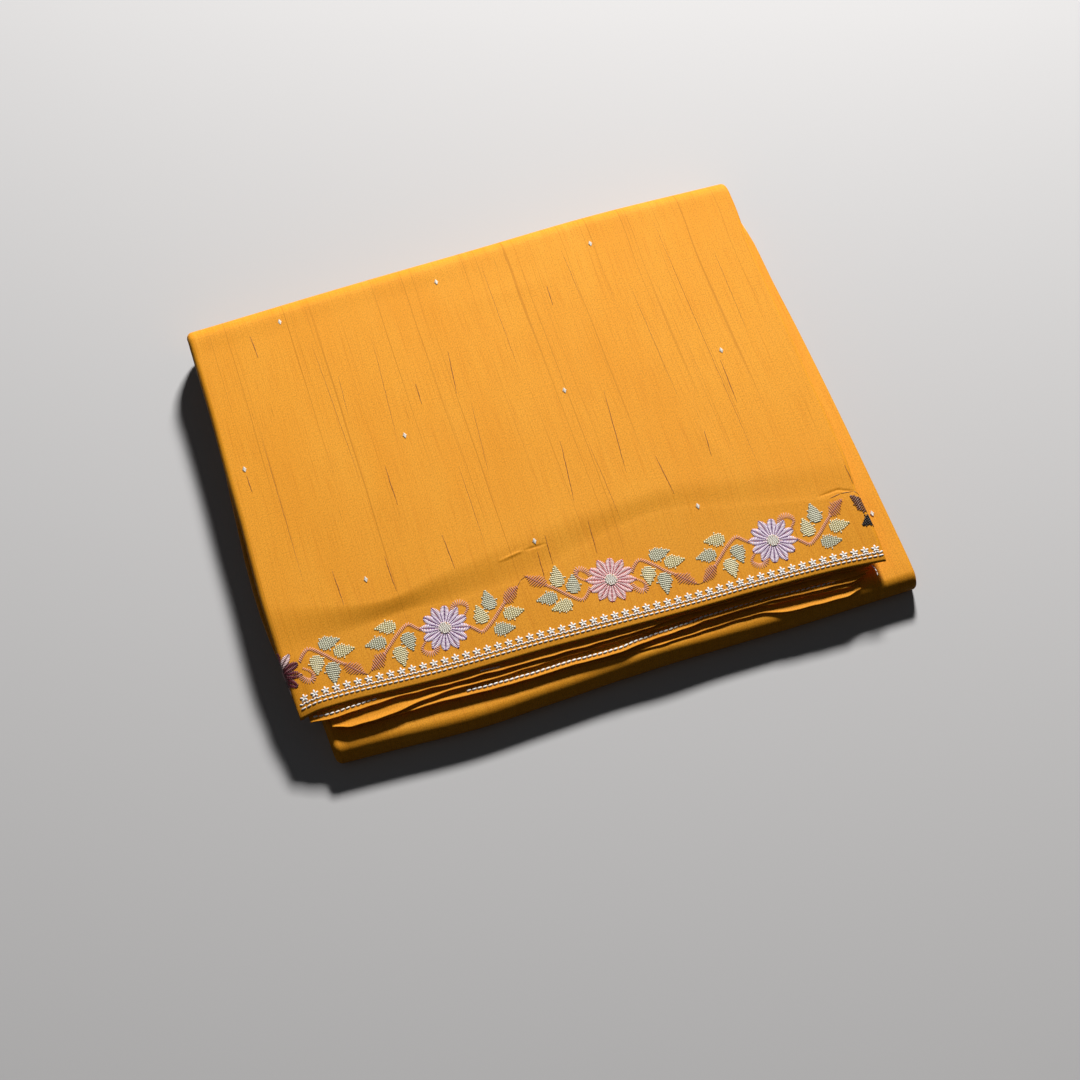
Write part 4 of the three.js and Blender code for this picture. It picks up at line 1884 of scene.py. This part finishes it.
@dataclass
class LowerTrims:
    """Ivory stitches that show on the second and the fourth edge."""

    second_rows: tuple[DashRow, ...] = (
        DashRow(-189.0, 12, 3.4, 1.3, 3.2, 3.6, 1.15),
        DashRow(-82.5, 4, 3.2, 1.6, 2.6, 2.8, 0.8),
    )
    fourth_row: DashRow = DashRow(-94.0, 72, 3.4, 1.35, 3.0, 3.5, 1.4)
    fourth_thin: float = 0.9
    rise: float = 0.5
    loose_yarn: Yarn = Yarn(0.55, 0.8)
    loose_thread: tuple[tuple[Spot, Spot, float], ...] = (
        ((173.3, -144.6), (174.6, -147.6), 24.9), ((174.6, -147.4), (175.1, -150.0), 24.2),
        ((175.1, -149.8), (174.9, -152.2), 23.3),
    )

    def on_edge(self, edges: LooseEdges, cut: EdgeCut) -> Surface:
        """Surface over one loose edge.

        Args:
            edges: the loose edges.
            cut: the one that is meant.

        Returns:
            The surface, with t measured back from the edge.
        """

        def surface(s: float, t: float, lift: float) -> Point:
            """Point over the edge."""
            y = edges.front_at(cut, s) + t
            return s, y, edges.height(cut, s, y) + lift

        return surface

    def build(self, edges: LooseEdges) -> None:
        """Sew the stitches that show.

        Args:
            edges: the loose edges that carry them.
        """
        second, fourth = Stitching("second_trim", IVORY), Stitching("fourth_trim", IVORY)
        over_second = self.on_edge(edges, EDGE_CUTS[0])
        over_fourth = self.on_edge(edges, EDGE_CUTS[2])
        for row in self.second_rows:
            for s in (row.first + number * row.pitch for number in range(row.count)):
                second.sew((s - row.half, row.near), (s + row.half, row.far),
                           Yarn(row.width, self.rise), over_second)
        for start, end, height in self.loose_thread:
            second.sew(start, end, self.loose_yarn, lambda x, y, lift, z=height: (x, y, z + lift))
        second.finish_piece("edge_silk")
        row = self.fourth_row
        for s in (row.first + number * row.pitch for number in range(row.count)):
            width = mix(row.width, self.fourth_thin, smooth((s - 50) / 40))
            fourth.sew((s - row.half, row.near), (s + row.half, row.far),
                       Yarn(width, self.rise), over_fourth)
        fourth.finish_piece("edge_silk")


@dataclass
class SmallFigures:
    """Small woven diamonds spread over the cloth."""

    places: tuple[tuple[float, float], ...] = (
        (-135.5, 142.5), (-27.5, 141.5), (80.5, 139.5),
        (-186.5, 39.5), (-81.5, 32.5), (27.5, 33.5), (135.5, 31.5),
        (-134.5, -61.5), (-25.5, -67.5), (81.5, -74.5),
    )
    on_ledge: tuple[float, float] = (189.9, -106.2)
    threads: tuple[Spot, ...] = ((0.5, 1.7), (1.1, 0.95), (1.6, 0.1), (1.1, -0.75), (0.5, -1.5))
    yarn: Yarn = Yarn(0.85, 0.5)

    def diamond(self, silver: Stitching, x: float, y: float, surface: Surface) -> None:
        """Sew one diamond of five short threads side by side.

        Args:
            silver: takes the stitches.
            x: of its middle.
            y: of its middle.
            surface: that it lies on.
        """
        for wide, off in self.threads:
            silver.sew((x - wide + 0.3, y + off - 0.1), (x + wide - 0.3, y + off + 0.1),
                       self.yarn, surface)

    def build(self) -> None:
        """Sew the diamonds on the top panel and on the fold below it."""
        silver = Stitching("woven_figures", SILVER)
        for x, y in self.places:
            self.diamond(silver, x, y, BUNDLE.on_top)

        def on_fold(x: float, y: float, lift: float) -> Point:
            """Point over the lower fold."""
            return x, y, BUNDLE.lower_top(x, y) + 0.05 + lift

        self.diamond(silver, *self.on_ledge, on_fold)
        silver.finish_piece()


@dataclass
class Slubs:
    """Thick darker yarns that stand out in the weave of the top panel."""

    strong: tuple[tuple[float, float, float, float], ...] = (
        (-156.9, 138, -156.5, 120), (-36, 87, -40, 54), (-63.5, 69, -64, 53),
        (42, 116, 41, 100), (67.6, -31, 70, -61),
        (-100, 15, -100.5, -15), (-152.8, -48.4, -152.4, -73.6), (-186.5, 35, -186, 22),
        (-18, -65, -19, -85), (132.5, 25, 131.5, -8),
        (104, -23, 102, -42), (13, -2, 7.5, -47), (52, 26, 46, -36), (181, -75, 181.5, -89),
        (-118.7, -48.5, -118.6, -74.1), (-79.8, -44.8, -79.1, -70.1),
        (-26, -74.5, -27.2, -95), (11.5, -62.9, 9.9, -85.9),
    )
    faint: tuple[tuple[float, float, float, float], ...] = (
        (127, 154, 128.5, -68), (-81, 110, -87, 30), (-33, 45, -38, -9), (-120, 120, -118, 10),
        (-170, 60, -172, -50), (5, 148, 4, 60), (95, 100, 96.5, 5), (158, 110, 157, 40),
        (-55, 0, -56, -60), (30, -10, 31.5, -70), (-110, 90, -112, 60), (60, 140, 61, 100),
    )
    seed: int = 11
    strong_width: float = 0.52
    faint_width: float = 0.24
    rise: float = 0.35
    length: float = 5.0

    def lay(self, yarn: Stitching, line: tuple[float, float, float, float], width: float) -> None:
        """Lay one thick yarn as overlapping lengths that taper at its ends.

        Args:
            yarn: takes the lengths.
            line: x and y of its two ends.
            width: at its middle.
        """
        x0, y0, x1, y1 = line
        count = max(int(abs(y1 - y0) / self.length), 3)
        draw = random.Random(self.seed + int(x0 * 7))
        for k in range(count):
            wobble = draw.uniform(-0.12, 0.12)
            taper = math.sin(math.pi * (k + 0.5) / count) ** 0.5
            start, end = (
                (mix(x0, x1, share) + wobble, mix(y0, y1, share))
                for share in (k / count, min((k + 1.25) / count, 1.05))
            )
            yarn.sew(start, end, Yarn(width * taper, self.rise), BUNDLE.on_top)

    def build(self) -> None:
        """Lay every slub."""
        yarn = Stitching("slub_yarns", SLUB_YARN)
        for lines, width in ((self.strong, self.strong_width), (self.faint, self.faint_width)):
            for line in lines:
                self.lay(yarn, line, width)
        yarn.finish_piece()


@dataclass(frozen=True)
class Lamp:
    """A soft light that faces the bundle; its place, size and power are in metres and watts."""

    name: str
    at: Point
    size: float
    power: float
    colour: Colour


@dataclass(frozen=True)
class Studio:
    """Floor, lights and camera, with lengths in metres."""

    target: Point = (-0.0162, -0.0499, 0.0)
    distance: float = 1.649
    azimuth: float = -17.86
    elevation: float = 60.86
    lens: float = 85.0
    sensor: float = 36.0
    floor_drop: float = 0.0004
    lamps: tuple[Lamp, ...] = (
        Lamp("key", (0.88, 1.95, 1.6), 0.42, 118, (1.0, 0.98, 0.95)),
        Lamp("fill", (-1.2, -0.6, 1.8), 1.6, 0.9, (0.95, 0.97, 1.0)),
    )
    air: tuple[float, float, float, float] = (0.75, 0.78, 0.82, 1)
    air_strength: float = 0.03

    def camera(self) -> None:
        """Set the camera at the photo's angle."""
        data = bpy.data.cameras.new("camera")
        data.lens, data.sensor_width = self.lens, self.sensor
        item = bpy.data.objects.new("camera", data)
        bpy.context.scene.collection.objects.link(item)
        az, el = math.radians(self.azimuth), math.radians(self.elevation)
        back = Vector((math.sin(az) * math.cos(el), -math.cos(az) * math.cos(el), math.sin(el)))
        item.location = Vector(self.target) + back * self.distance
        item.rotation_euler = back.to_track_quat("Z", "Y").to_euler()
        bpy.context.scene.camera = item

    def floor(self) -> None:
        """Lay a plain pale floor."""
        bpy.ops.object.select_all(action="DESELECT")
        bpy.ops.mesh.primitive_plane_add(size=8, location=(0, 0, -self.floor_drop))
        plane = bpy.context.object
        plane.name = "floor"
        sheet = NodeSheet("pale_floor")
        surface = sheet.add("ShaderNodeBsdfPrincipled")
        surface.inputs["Base Color"].default_value = (*from_srgb(196, 196, 198), 1)
        surface.inputs["Roughness"].default_value = 0.8
        sheet.link(surface.outputs["BSDF"], sheet.output.inputs["Surface"])
        plane.data.materials.append(sheet.material)
        # The floor throws no coloured or bright light up into the gaps between the edges.
        plane.visible_diffuse = False

    def light(self, lamp: Lamp) -> None:
        """Add one light.

        Args:
            lamp: the light.
        """
        data = bpy.data.lights.new(lamp.name, "AREA")
        data.size, data.energy, data.color = lamp.size, lamp.power, lamp.colour
        item = bpy.data.objects.new(lamp.name, data)
        item.location = lamp.at
        item.rotation_euler = Vector(lamp.at).to_track_quat("Z", "Y").to_euler()
        bpy.context.scene.collection.objects.link(item)

    def build(self) -> None:
        """Set the whole stage."""
        self.camera()
        self.floor()
        for lamp in self.lamps:
            self.light(lamp)
        world = bpy.data.worlds.new("studio_air")
        world.use_nodes = True
        background = world.node_tree.nodes["Background"]
        background.inputs["Color"].default_value = self.air
        background.inputs["Strength"].default_value = self.air_strength
        bpy.context.scene.world = world
        # The plain transform keeps the deep yellow that the filmic one would wash out.
        bpy.context.scene.view_settings.view_transform = "Standard"


def main() -> None:
    """Build every piece in order."""
    logging.basicConfig(level=logging.INFO, format="%(name)s: %(message)s")
    Studio().build()
    OuterCloth().build()
    edges = LooseEdges()
    edges.build()
    HiddenLayers().build()
    EdgeTrim().build()
    LowerTrims().build(edges)
    FlowerBorder().build()
    SmallFigures().build()
    Slubs().build()


if __name__ == "__main__":
    main()
